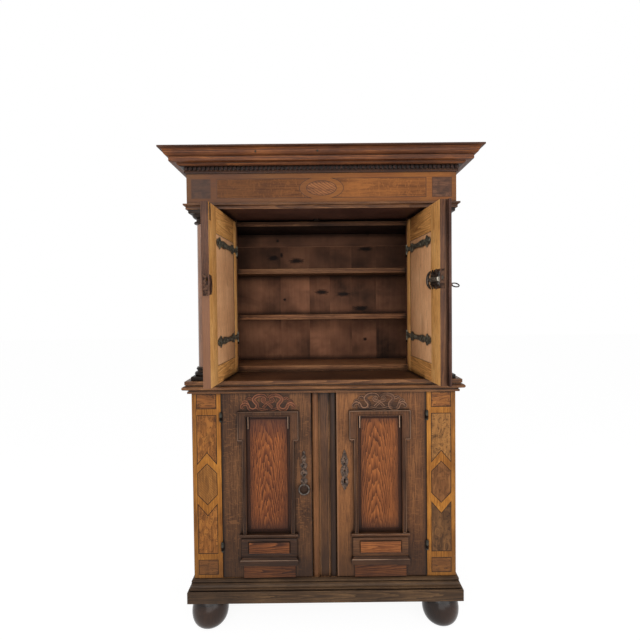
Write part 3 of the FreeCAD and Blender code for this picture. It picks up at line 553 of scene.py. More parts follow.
@dataclass(frozen=True)
class Burl(Finish):
    """A flamed or swirling veneer."""

    dark: Colour
    middle: Colour
    light: Colour
    flame: Triple = (9.0, 34.0, 34.0)
    turns: float = 7.0
    line: float = 0.5
    stripe: float = 0.0
    stripe_pitch: float = 0.009
    stripe_slope: float = 1.0
    burn: float = 0.3
    roughness: float = 0.42
    fades: tuple[Fade, ...] = ()
    streak_scale: Triple = (14.0, 160.0, 160.0)
    fine_scale: float = 420.0
    blotch_scale: float = 24.0
    soot_reach: float = 0.03
    soot_share: float = 0.7
    bump_strength: float = 0.2
    bump_depth: float = 0.0004
    gloss: float = 0.16
    coat: float = 0.03
    coat_roughness: float = 0.25

    def make(self, shader: Shader) -> bpy.types.Material:
        """Return the material of a new shader."""
        _, seed, _ = shader.parts(shader.attribute("board"))
        shift = shader.node("CombineXYZ", None, {0: seed, 1: seed})
        ends = {0: shader.attribute("grain"), 1: shift}
        grain = shader.node("VectorMath", {"operation": "ADD"}, ends)
        x, _, z = shader.place()
        cloud = shader.noise(shader.stretch(grain, self.flame), 1.0, 3.0, 1.6)
        lines = abs(shader.fraction(cloud * self.turns) - 0.5).ease(0.38, 0.5)
        streaks = shader.noise(shader.stretch(grain, self.streak_scale), 1.0, 3.0, 0.6)
        fine = shader.noise(grain, self.fine_scale, 2.0)
        value = (cloud - 0.5) * 0.9 + (streaks - 0.5) * 0.7 + (fine - 0.5) * 0.2 + 0.5
        stops = ((0.12, self.dark), (0.5, self.middle), (0.9, self.light))
        colour = shader.node("ValToRGB", {"stops": stops}, {0: value})
        colour = shader.mix(lines * self.line, colour, self.dark)
        if self.stripe:
            slant = (x * self.stripe_slope + z) * (1.0 / self.stripe_pitch) + cloud * 0.8
            wave = abs(shader.fraction(slant) - 0.5)
            colour = shader.mix(wave.ease(0.28, 0.42) * self.stripe, colour, self.dark)
        if self.burn:
            blotch = shader.noise(grain, self.blotch_scale, 3.0, 0.6)
            colour = shader.mix(blotch.ease(0.52, 0.7) * self.burn, colour, self.dark)
        for fade in self.fades:
            colour = fade.lay(shader, colour)
        # Darker in recesses within the recess reach: partly grime and partly painted shade.
        soot_and_shade = shader.recess(self.soot_reach).ease(0.2, 0.65) * self.soot_share
        return shader.close(
            Base_Color=shader.mix(soot_and_shade, colour, SOOT_AND_SHADE), Roughness=cloud * 0.2 + (self.roughness - 0.1),
            Normal=shader.bump(streaks, self.bump_strength, self.bump_depth),
            Specular_IOR_Level=self.gloss, Coat_Weight=self.coat, Coat_Roughness=self.coat_roughness,
        )


@dataclass(frozen=True)
class Iron(Finish):
    """Hand-forged iron with a dark, uneven skin."""

    dark: Colour
    light: Colour
    rust: Colour
    roughness: float = 0.48
    metal: float = 0.6
    gloss: float = 0.5
    cloud_scale: float = 95.0
    dent_scale: float = 240.0
    rust_scale: float = 60.0
    rust_share: float = 0.5
    bump_strength: float = 0.45
    bump_depth: float = 0.0012

    def make(self, shader: Shader) -> bpy.types.Material:
        """Return the material of a new shader."""
        spot = shader.spot()
        cloud = shader.noise(spot, self.cloud_scale, 5.0, 0.5)
        dents = shader.noise(spot, self.dent_scale, 3.0)
        rusty = shader.noise(spot, self.rust_scale, 4.0).ease(0.55, 0.72) * self.rust_share
        colour = shader.mix(cloud.ease(0.35, 0.7), self.dark, self.light)
        return shader.close(
            Base_Color=shader.mix(rusty, colour, self.rust), Metallic=(self.metal - cloud * 0.2).most(0.0),
            Normal=shader.bump(dents * 0.7 + cloud, self.bump_strength, self.bump_depth),
            Roughness=cloud * 0.25 + (self.roughness - 0.12), Specular_IOR_Level=self.gloss,
        )


DOOR_FADES = (
    Fade(Way.UP, 0.52, 0.23, 0.7, DIRT_AND_SHADE), Fade(Way.ACROSS, 0.395, 0.425, 0.35, DIRT_AND_SHADE, True),
    Fade(Way.ACROSS, 0.417, 0.426, 0.75, KNOT_AND_SHADE, True), Fade(Way.ACROSS, 0.060, 0.052, 0.5, DIRT_AND_SHADE, True),
)
DOOR_OAK = DoorWood(
    "door_oak", rgb(36, 21, 14), rgb(78, 50, 31), rgb(128, 85, 52), rgb(150, 116, 92), fleck=0.5,
    patch_share=0.5, fades=DOOR_FADES, grip=(-0.085, 0.592),
)
RIGHT_DOOR_OAK = DoorWood(
    "right_door_oak", rgb(44, 26, 16), rgb(98, 61, 36), rgb(142, 93, 54), rgb(160, 124, 96), fleck=0.3,
    patch_share=0.5, fades=DOOR_FADES[:3] + (Fade(Way.ACROSS, 0.060, 0.054, 0.4, rgb(146, 110, 84)),),
)
RELIEF_OAK = Wood(
    "relief_oak", rgb(36, 22, 15), rgb(76, 49, 32), rgb(122, 80, 50), rgb(136, 110, 92), wear=0.85,
    fades=DOOR_FADES[:1],
)
RIGHT_RELIEF_OAK = Wood(
    "right_relief_oak", rgb(42, 26, 16), rgb(96, 61, 38), rgb(140, 93, 56), rgb(158, 128, 106), wear=0.9,
    fades=DOOR_FADES[:1],
)
FIELD_OAK = Wood(
    "field_oak", rgb(58, 30, 17), rgb(120, 68, 36), rgb(160, 98, 52), rgb(160, 104, 64),
    ring_share=0.5, slope=0.05, ring_scale=55.0, fades=(Fade(Way.UP, 0.38, 0.24, 0.5, DIRT_AND_SHADE),),
)
CREST_OAK = Wood(
    "crest_oak", rgb(40, 23, 17), rgb(88, 53, 38), rgb(124, 77, 54), rgb(138, 87, 61), grime=0.95,
)
DARK_CREST_OAK = Wood(
    "dark_crest_oak", rgb(34, 22, 17), rgb(80, 54, 40), rgb(116, 80, 58), rgb(142, 104, 79), grime=0.95,
)
PANEL_OAK = PanelWood(
    "panel_oak", rgb(46, 22, 13), rgb(112, 60, 32), rgb(164, 96, 48), rgb(150, 96, 58),
    ring_share=0.52, ring_scale=75.0, ring_warp=7.0, ring_detail=1.4, slope=0.07, heart=0.05,
    patch_share=0.3, fades=(Fade(Way.UP, 0.79, 0.87, 0.6, rgb(66, 38, 32)),),
)
RIGHT_PANEL_OAK = PanelWood(
    "right_panel_oak", rgb(58, 29, 15), rgb(128, 72, 36), rgb(176, 106, 54), rgb(150, 96, 58),
    ring_share=0.46, ring_scale=70.0, ring_warp=6.0, ring_detail=1.2, slope=0.08, heart=0.06,
    patch_share=0.3,
)
PANEL_BACK = Wood(
    "outer_panel_oak", rgb(58, 32, 22), rgb(116, 70, 44), rgb(156, 100, 62), rgb(150, 100, 64),
    ring_share=0.7, ring_scale=45.0, ring_warp=5.0, ring_detail=1.2, slope=0.06,
)
CASE_OAK = Wood(
    "case_oak", rgb(44, 27, 18), rgb(94, 60, 38), rgb(148, 102, 64), rgb(170, 122, 80), wear=0.9,
)
POST_OAK = Wood(
    "post_oak", rgb(48, 30, 19), rgb(92, 59, 37), rgb(140, 94, 58), rgb(172, 124, 84), wear=0.9,
    fades=(
        Fade(Way.ACROSS, 0.026, 0.021, 0.5, DIRT_AND_SHADE, True), Fade(Way.ACROSS, 0.012, 0.024, 0.85, DIRT_AND_SHADE),
        Fade(Way.UP, 0.5, 0.23, 0.5, DIRT_AND_SHADE), Fade(Way.ACROSS, -0.020, -0.026, 0.15, rgb(144, 88, 44)),
    ),
)
LEDGE_OAK = Wood(
    "ledge_oak", rgb(34, 21, 15), rgb(66, 42, 29), rgb(96, 63, 42), rgb(150, 106, 70), knots=0.5,
    ring_share=0.3, ring_scale=40.0, streak_share=0.35, wear=0.9,
)
BASE_OAK = Wood(
    "base_oak", rgb(30, 22, 15), rgb(72, 52, 35), rgb(112, 84, 56), rgb(150, 114, 78), wear=0.9,
    streak_share=0.35, grime=0.9,
)
CORNICE_OAK = Wood(
    "cornice_oak", rgb(48, 26, 15), rgb(102, 58, 33), rgb(158, 97, 50), rgb(178, 116, 62), wear=0.9,
    fades=(Fade(Way.UP, 1.900, 1.904, 0.75, KNOT_AND_SHADE, stop=1.933), Fade(Way.UP, 1.985, 1.989, 0.6, KNOT_AND_SHADE)),
)
SIDE_OAK = Wood(
    "side_oak", rgb(46, 28, 20), rgb(94, 60, 40), rgb(134, 90, 58), rgb(154, 108, 70), fleck=0.25,
)
LEFT_DOOR_OAK = Wood(
    "left_door_oak", rgb(40, 25, 18), rgb(74, 47, 34), rgb(112, 74, 52), rgb(150, 106, 70), fleck=0.2,
    fades=(Fade(Way.UP, 1.44, 1.38, 0.6, rgb(144, 102, 76)),),
)
RIGHT_SIDE_OAK = Wood(
    "right_side_oak", rgb(40, 24, 18), rgb(80, 51, 35), rgb(116, 78, 52), rgb(140, 98, 66), fleck=0.25,
)
COVER_OAK = Wood(
    "cover_oak", rgb(30, 18, 14), rgb(64, 41, 33), rgb(96, 64, 50), rgb(126, 96, 84), wear=0.9,
)
TAN_OAK = Wood(
    "tan_oak", rgb(126, 80, 42), rgb(214, 154, 88), rgb(242, 190, 122), rgb(228, 178, 116),
    gloss=0.1, coat=0.0, roughness=0.62, contrast=0.9, grime=0.7,
)
TAN_PANEL = Wood(
    "tan_panel", rgb(150, 102, 70), rgb(226, 170, 122), rgb(244, 198, 152), rgb(226, 180, 128),
    gloss=0.1, coat=0.0, roughness=0.62, contrast=0.8, grime=0.7, knots=0.5,
)
PINE = Wood(
    "dark_pine", rgb(62, 40, 29), rgb(124, 86, 64), rgb(174, 126, 96), rgb(160, 114, 84),
    ring_share=0.3, streak_share=0.25, knots=0.9, gloss=0.1, coat=0.0, roughness=0.66,
)
# Painted shade: darker towards the top, the right and both sides of the upper back.
BACK_PINE = KnottyPine(
    "back_pine", rgb(36, 25, 20), rgb(116, 78, 58), rgb(160, 110, 82), rgb(150, 106, 80),
    ring_share=0.05, ring_scale=12.0, ring_warp=5.0, streak_share=0.07, pore_share=0.05, patch_share=0.7,
    stain=0.35, gloss=0.1, coat=0.0, roughness=0.66,
    fades=(
        Fade(Way.UP, 1.46, 1.60, 0.5, KNOT_AND_SHADE), Fade(Way.ACROSS, 0.02, 0.36, 0.1, KNOT_AND_SHADE),
        Fade(Way.ACROSS, 0.32, 0.40, 0.2, KNOT_AND_SHADE, True),
    ),
)
# Painted shadow: the underside and the other hidden faces of the upper case's top.
TOP_SHADOW_PINE = Wood(
    "shaded_pine", rgb(18, 13, 11), rgb(44, 31, 26), rgb(66, 48, 40), rgb(74, 54, 44),
    gloss=0.1, coat=0.0, roughness=0.7,
)
SOFFIT_OAK = Wood(
    "soffit_oak", rgb(34, 22, 19), rgb(70, 46, 39), rgb(102, 70, 56), rgb(110, 78, 60), gloss=0.12,
)
DENTIL_OAK = Wood(
    "dentil_oak", rgb(24, 15, 13), rgb(48, 31, 27), rgb(66, 45, 38), rgb(70, 48, 40),
    gloss=0.1, coat=0.0, grime=0.95, wear=0.2,
)
# Painted shade: darker above 1.44 m, up under the upper case's top.
SHELF_PINE = Wood(
    "shelf_pine", rgb(62, 40, 27), rgb(120, 80, 54), rgb(160, 113, 76), rgb(160, 116, 80),
    gloss=0.12, coat=0.0, roughness=0.6, fades=(Fade(Way.UP, 1.44, 1.50, 0.5, DIRT_AND_SHADE),),
)
EBONY = Wood(
    "ebonised_wood", rgb(14, 11, 10), rgb(34, 26, 22), rgb(62, 47, 38), rgb(96, 76, 60),
    gloss=0.1, coat=0.0, roughness=0.36, ring_share=0.15,
)
# Painted shade: a dark groove line, and the foot darker up towards the base above it.
FOOT_WOOD = Wood(
    "foot_wood", rgb(18, 11, 8), rgb(50, 33, 24), rgb(84, 58, 42), rgb(90, 70, 54),
    gloss=0.28, coat=0.0, roughness=0.2, grime=0.5, ring_share=0.06, streak_share=0.12, pore_share=0.1,
    patch_share=0.6,
    fades=(
        Fade(Way.UP, 0.106, 0.107, 0.85, KNOT_AND_SHADE, stop=0.109), Fade(Way.UP, 0.116, 0.122, 0.6, KNOT_AND_SHADE),
        Fade(Way.UP, 0.082, 0.112, 0.6, KNOT_AND_SHADE),
    ),
)
COLUMN_WALNUT = Wood(
    "column_walnut", rgb(74, 45, 30), rgb(132, 88, 60), rgb(176, 126, 92), rgb(160, 114, 82),
    gloss=0.5, coat=0.6, roughness=0.22, grime=0.5, streak_share=0.4,
)
FRIEZE_SHADE = Fade(Way.ACROSS, 0.25, -0.35, 0.5, rgb(36, 20, 13), above=1.7)
BAND_VENEER = Wood(
    "band_veneer", rgb(92, 52, 18), rgb(154, 97, 36), rgb(194, 131, 54), rgb(188, 128, 60),
    ring_share=0.3, patch_share=0.6, roughness=0.4,
    fades=(
        Fade(Way.UP, 1.70, 1.72, 0.7, rgb(114, 63, 30)), FRIEZE_SHADE,
        Fade(Way.UP, 0.42, 0.22, 0.4, rgb(80, 54, 30)),
        Fade(Way.ACROSS, 0.520, 0.550, 0.4, rgb(92, 62, 34), True),
    ),
)
STRINGING = Wood(
    "stringing", rgb(26, 15, 9), rgb(44, 26, 14), rgb(66, 41, 22), rgb(64, 40, 22), roughness=0.44,
    fades=(Fade(Way.UP, 1.70, 1.72, 0.55, rgb(98, 60, 36)),),
)
FRIEZE_VENEER = Wood(
    "frieze_veneer", rgb(68, 39, 21), rgb(115, 69, 35), rgb(148, 92, 46), rgb(168, 108, 58),
    ring_share=0.3, ring_scale=40.0, slope=0.02, streak_share=0.6, patch_share=0.6, fleck=0.6,
    gloss=0.12, coat=0.0, fades=(FRIEZE_SHADE,),
)
PILASTER_BURL = Burl(
    "pilaster_burl", rgb(50, 27, 12), rgb(138, 85, 38), rgb(184, 122, 56), flame=(16.0, 30.0, 30.0),
    line=0.8, turns=6.0, burn=0.4,
)
RIGHT_BURL = Burl(
    "right_burl", rgb(56, 35, 18), rgb(146, 99, 52), rgb(180, 128, 70), flame=(20.0, 28.0, 28.0),
    line=0.85, turns=5.0, burn=0.15,
)
LOW_BURL = Burl(
    "low_burl", rgb(38, 24, 15), rgb(100, 67, 39), rgb(138, 96, 56), flame=(18.0, 28.0, 28.0),
    line=0.75, turns=5.0, burn=0.3,
)
HEXAGON = Burl(
    "hexagon_veneer", rgb(80, 50, 22), rgb(134, 86, 39), rgb(160, 108, 52),
    stripe=0.35, stripe_pitch=0.0105, burn=0.0,
)
RIGHT_HEXAGON = Burl(
    "right_hexagon_veneer", rgb(60, 36, 18), rgb(116, 73, 39), rgb(148, 99, 55), flame=(14.0, 26.0, 26.0),
    line=0.55, turns=4.0, burn=0.35,
)
OVAL = Burl(
    "oval_veneer", rgb(64, 37, 22), rgb(130, 80, 44), rgb(158, 102, 58),
    stripe=0.7, stripe_pitch=0.011, stripe_slope=0.62, burn=0.0,
)
END_BURL = Burl(
    "end_burl", rgb(52, 30, 16), rgb(130, 79, 38), rgb(168, 108, 52), line=0.75, turns=5.0, burn=0.75,
    fades=(Fade(Way.UP, 0.36, 0.28, 0.5, rgb(66, 48, 32)),),
)
SQUARE_BURL = Burl(
    "square_burl", rgb(40, 25, 18), rgb(92, 60, 42), rgb(122, 84, 60), burn=0.5, fades=(FRIEZE_SHADE,),
)
IRON = Iron("wrought_iron", rgb(36, 32, 29), rgb(92, 85, 76), rgb(70, 50, 38))
STRAP_IRON = Iron("strap_iron", rgb(46, 42, 34), rgb(118, 114, 98), rgb(76, 58, 44), 0.5, 0.3)
PLATE_IRON = Iron("plate_iron", rgb(38, 28, 22), rgb(118, 94, 78), rgb(84, 57, 41), 0.46, 0.1, 0.3)
RUSTY_IRON = Iron("rusty_iron", rgb(44, 30, 24), rgb(98, 71, 56), rgb(84, 54, 39), 0.7, 0.0, 0.1)
# Iron darkened as painted shade, for the keeper in the shade at the top of the opening.
SHADED_IRON = Iron("sooty_iron", rgb(12, 9, 8), rgb(34, 26, 22), rgb(30, 21, 17), 0.8, 0.0, 0.05)
LOCK_IRON = Iron("lock_iron", rgb(22, 18, 16), rgb(78, 68, 60), rgb(52, 36, 28), 0.36, 0.4)
# Brighter iron of the bolt housing, its light colour partly a painted highlight.
BOLT_IRON_AND_HIGHLIGHT = Iron("bolt_iron", rgb(58, 52, 46), rgb(156, 148, 133), rgb(92, 76, 62), 0.36, 0.6)
RING_IRON = Iron("ring_iron", rgb(46, 40, 36), rgb(110, 99, 89), rgb(76, 56, 44), 0.38, 0.45)


class Pick(Enum):
    """What is selected in edit mode."""

    VERT = "VERT"
    EDGE = "EDGE"
    FACE = "FACE"


class Bench:
    """The hand tools: primitives, and the operators that shape them."""

    NAIL_SIDES = 8
    NAIL_TIP = 0.35
    NAIL_HEIGHT = 0.8
    NAIL_EASE = 0.2
    NAIL_ANGLE = 20
    ROD_LEAST_POINTS = 6
    ROD_ORDER = 3
    ROD_STEPS = 6
    ROD_ROUNDNESS = 3
    MERGE_REACH = 0.00001
    SMOOTH_ANGLE = 38

    @staticmethod
    def clear() -> None:
        """Leave edit mode and select nothing."""
        if bpy.context.mode != "OBJECT":
            bpy.ops.object.mode_set(mode="OBJECT")
        bpy.ops.object.select_all(action="DESELECT")

    @staticmethod
    def take(piece: Piece) -> None:
        """Make one piece the only selected one."""
        Bench.clear()
        piece.select_set(True)
        bpy.context.view_layer.objects.active = piece

    @staticmethod
    def settle(piece: Piece) -> None:
        """Put a piece's place, turn and size into its mesh."""
        Bench.take(piece)
        bpy.ops.object.transform_apply(location=True, rotation=True, scale=True)

    @staticmethod
    def block(name: str, low: Vector, high: Vector) -> Piece:
        """Add a block between two corners.

        Args:
            name: The piece's name.
            low: Its lowest corner.
            high: Its highest corner.

        Returns:
            The block, with its place in its mesh.
        """
        Bench.clear()
        bpy.ops.mesh.primitive_cube_add(size=1.0, location=(low + high) / 2, scale=high - low)
        piece = bpy.context.object
        piece.name = name
        Bench.settle(piece)
        return piece

    @staticmethod
    def grid(name: str, across: int, up: int) -> Piece:
        """Add an upright grid of one metre that faces the front.

        Args:
            name: The piece's name.
            across: How many fields it has along x.
            up: How many it has along z.

        Returns:
            The grid, with its middle at the origin.
        """
        Bench.clear()
        bpy.ops.mesh.primitive_grid_add(
            x_subdivisions=across, y_subdivisions=up, size=1.0, rotation=(math.pi / 2, 0, 0),
        )
        piece = bpy.context.object
        piece.name = name
        Bench.settle(piece)
        return piece

    @staticmethod
    def thicken(piece: Piece, depth: float) -> None:
        """Draw a sheet out along y into a closed body."""
        Bench.pick_all(piece)
        bpy.ops.mesh.extrude_region_move(TRANSFORM_OT_translate={"value": (0, depth, 0)})
        Bench.right_way_out(piece)

    @staticmethod
    def nail(centre: Vector, outward: Vector, radius: float) -> Piece:
        """Add a forged nail head: a low cone of eight facets with soft edges.

        Args:
            centre: The middle of the head.
            outward: Where it points.
            radius: Its radius in metres.

        Returns:
            The nail head.
        """
        Bench.clear()
        bpy.ops.mesh.primitive_cone_add(
            vertices=Bench.NAIL_SIDES, radius1=radius, radius2=radius * Bench.NAIL_TIP,
            depth=radius * Bench.NAIL_HEIGHT,
        )
        piece = bpy.context.object
        piece.name = "nail"
        Bench.soften(piece, radius * Bench.NAIL_EASE, Bench.NAIL_ANGLE)
        turn = Vector((0, 0, 1)).rotation_difference(outward).to_matrix().to_4x4()
        Bench.carry(piece, Matrix.Translation(centre) @ turn)
        return piece

    @staticmethod
    def turned(name: str, profile: Sequence[Pair], segments: int = 18) -> Piece:
        """Turn a piece about the z axis, drawn up from a disc.

        Args:
            name: The piece's name.
            profile: The radius and the height of each step in metres, from the foot.
            segments: How many sides it has.

        Returns:
            The piece.
        """
        Bench.clear()
        radius, height = profile[0]
        bpy.ops.mesh.primitive_circle_add(
            vertices=segments, radius=radius, fill_type="NGON", location=(0, 0, height),
        )
        piece = bpy.context.object
        piece.name = name
        Bench.settle(piece)
        Bench.pick_all(piece)
        for (last, level), (wide, rise) in zip(profile, profile[1:]):
            bpy.ops.mesh.extrude_region_move(TRANSFORM_OT_translate={"value": (0, 0, rise - level)})
            share = wide / last
            bpy.ops.transform.resize(value=(share, share, 1.0), center_override=(0, 0, rise))
        Bench.right_way_out(piece)
        return piece

    @staticmethod
    def rod(name: str, points: Sequence[tuple[Vector, float]], radius: float) -> Piece:
        """Draw a round rod along a smooth line.

        Args:
            name: The piece's name.
            points: The line's points, each with its share of the full thickness.
            radius: The radius where the share is 1, in metres.

        Returns:
            The rod as a mesh.
        """
        line = list(points) + [points[-1]] * max(0, Bench.ROD_LEAST_POINTS - len(points))
        Bench.clear()
        bpy.ops.curve.primitive_nurbs_path_add()
        piece = bpy.context.object
        piece.name = name
        spline = piece.data.splines[0]
        spline.points.add(len(line) - len(spline.points))
        for point, (spot, share) in zip(spline.points, line):
            point.co = (spot.x, spot.y, spot.z, 1.0)
            point.radius = share
        spline.order_u = Bench.ROD_ORDER
        spline.use_endpoint_u = True
        piece.data.resolution_u = Bench.ROD_STEPS
        piece.data.bevel_depth = radius
        piece.data.bevel_resolution = Bench.ROD_ROUNDNESS
        piece.data.use_fill_caps = True
        bpy.ops.object.convert(target="MESH")
        Bench.right_way_out(piece)
        return piece

    @staticmethod
    def pick(piece: Piece, kind: Pick, test: Callable[[Any], bool]) -> None:
        """Enter edit mode with what passes a test selected.

        Args:
            piece: The piece.
            kind: What is selected.
            test: Says of a vertex, edge or face whether it is wanted.
        """
        Bench.take(piece)
        bpy.ops.object.mode_set(mode="EDIT")
        bpy.ops.mesh.select_mode(type=kind.value)
        bpy.ops.mesh.select_all(action="DESELECT")
        shape = bmesh.from_edit_mesh(piece.data)
        items = {Pick.VERT: shape.verts, Pick.EDGE: shape.edges, Pick.FACE: shape.faces}[kind]
        for item in items:
            if test(item):
                item.select_set(True)
        shape.select_flush_mode()
        bmesh.update_edit_mesh(piece.data)

    @staticmethod
    def pick_all(piece: Piece) -> None:
        """Enter edit mode with every face selected."""
        Bench.pick(piece, Pick.FACE, lambda face: True)

    @staticmethod
    def modify(piece: Piece, kind: str, **settings: Any) -> None:
        """Add a modifier and apply it."""
        Bench.take(piece)
        modifier = piece.modifiers.new(kind.lower(), kind)
        for name, value in settings.items():
            setattr(modifier, name, value)
        bpy.ops.object.modifier_apply(modifier=modifier.name)

    @staticmethod
    def soften(
        piece: Piece, width: float, angle: Optional[float] = None, segments: int = 2, **more: Any,
    ) -> None:
        """Ease the edges of a piece.

        Args:
            piece: The piece.
            width: How wide an eased edge is, in metres.
            angle: How sharp an edge has to be, in degrees, or None for all edges.
            segments: How many faces round an edge.
            more: Other settings of the bevel.
        """
        if angle is None:
            more["limit_method"] = "NONE"
        else:
            more["limit_method"] = "ANGLE"
            more["angle_limit"] = math.radians(angle)
        Bench.modify(piece, "BEVEL", width=width, segments=segments, **more)

    @staticmethod
    def join(name: str, pieces: Sequence[Piece]) -> Piece:
        """Join pieces into one.

        Args:
            name: The name of the whole.
            pieces: The pieces.

        Returns:
            The whole.
        """
        Bench.take(pieces[0])
        for piece in pieces[1:]:
            piece.select_set(True)
        if len(pieces) > 1:
            bpy.ops.object.join()
        pieces[0].name = name
        return pieces[0]

    @staticmethod
    def right_way_out(piece: Piece) -> None:
        """Merge doubles and turn all faces outwards."""
        Bench.pick_all(piece)
        bpy.ops.mesh.remove_doubles(threshold=Bench.MERGE_REACH)
        bpy.ops.mesh.normals_make_consistent(inside=False)
        Bench.clear()

    @staticmethod
    def carry(piece: Piece, move: Matrix) -> None:
        """Move a piece by a matrix and keep its place in its mesh."""
        piece.matrix_world = move
        Bench.settle(piece)

    @staticmethod
    def finish(
        piece: Piece, finish: Optional[Finish], body: str, slot: str,
        stands_for: Sequence[str] = (),
    ) -> Piece:
        """Dress a piece and tie it to its body.

        Args:
            piece: The piece.
            finish: The finish, or None where the slots are already filled.
            body: The body that it rides on.
            slot: The record's slot; not used.
            stands_for: The nodes that it replaces.

        Returns:
            The piece.
        """
        if finish is not None:
            piece.data.materials.clear()
            piece.data.materials.append(finish.material())
        Bench.take(piece)
        bpy.ops.object.shade_smooth_by_angle(angle=math.radians(Bench.SMOOTH_ANGLE))
        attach(piece, body)
        if stands_for:
            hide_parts(*stands_for)
        LOG.info("%s: %d faces on %s", piece.name, len(piece.data.polygons), body)
        return piece

    @staticmethod
    def stand_in(piece: Piece, finish: Optional[Finish], node: str) -> Piece:
        """Dress a piece and put it in the place of a node."""
        return Bench.finish(piece, finish, BODY_OF[node], SLOT_OF[node], [node])


class Grain:
    """Writes on each board of a piece which way its grain runs."""

    SPREAD = 0.10
    ALONG = 0.1
    ACROSS = 0.03
    DEPTH = (0.012, 0.04)
    SEEDS = 20

    @staticmethod
    def shells(mesh: bpy.types.Mesh) -> list[list[int]]:
        """Return the vertices of each separate shell of a mesh."""
        parent = list(range(len(mesh.vertices)))

        def root(item: int) -> int:
            """Return the vertex that stands for a vertex's shell."""
            while parent[item] != item:
                parent[item] = parent[parent[item]]
                item = parent[item]
            return item

        for edge in mesh.edges:
            parent[root(edge.vertices[0])] = root(edge.vertices[1])
        groups: dict[int, list[int]] = {}
        for vertex in range(len(parent)):
            groups.setdefault(root(vertex), []).append(vertex)
        return list(groups.values())

    @staticmethod
    def write(
        piece: Piece, turn: float = 0.0, shade: Optional[Shade] = None, spread: float = SPREAD,
    ) -> None:
        """Write the grain of every shell, along its longest side.

        Args:
            piece: The piece.
            turn: How far the piece stands turned about an upright axis, in degrees.
            shade: Gives how much lighter a board is from its middle.
            spread: How much boards differ by chance.
        """
        mesh = piece.data
        spin = Matrix.Rotation(math.radians(-turn), 3, "Z")
        for name in ("grain", "board"):
            mesh.attributes.new(name, "FLOAT_VECTOR", "POINT")
        grain = mesh.attributes["grain"]
        board = mesh.attributes["board"]
        for index, shell in enumerate(Grain.shells(mesh)):
            chance = random.Random(f"{piece.name}{index}")
            points = [spin @ mesh.vertices[vertex].co for vertex in shell]
            low, high = corners(points)
            order = sorted(range(3), key=lambda axis: high[axis] - low[axis], reverse=True)
            middle = (low + high) / 2
            shift = Vector((
                chance.uniform(-Grain.ALONG, Grain.ALONG), chance.uniform(-Grain.ACROSS, Grain.ACROSS),
                chance.uniform(*Grain.DEPTH),
            ))
            lift = chance.uniform(-spread, spread)
            seed = chance.uniform(0, Grain.SEEDS)
            if shade:
                lift += shade(spin.inverted() @ middle)
            for vertex, point in zip(shell, points):
                turned = Vector([point[axis] - middle[axis] for axis in order])
                grain.data[vertex].vector = turned + shift
                board.data[vertex].vector = (lift, seed, 0.0)


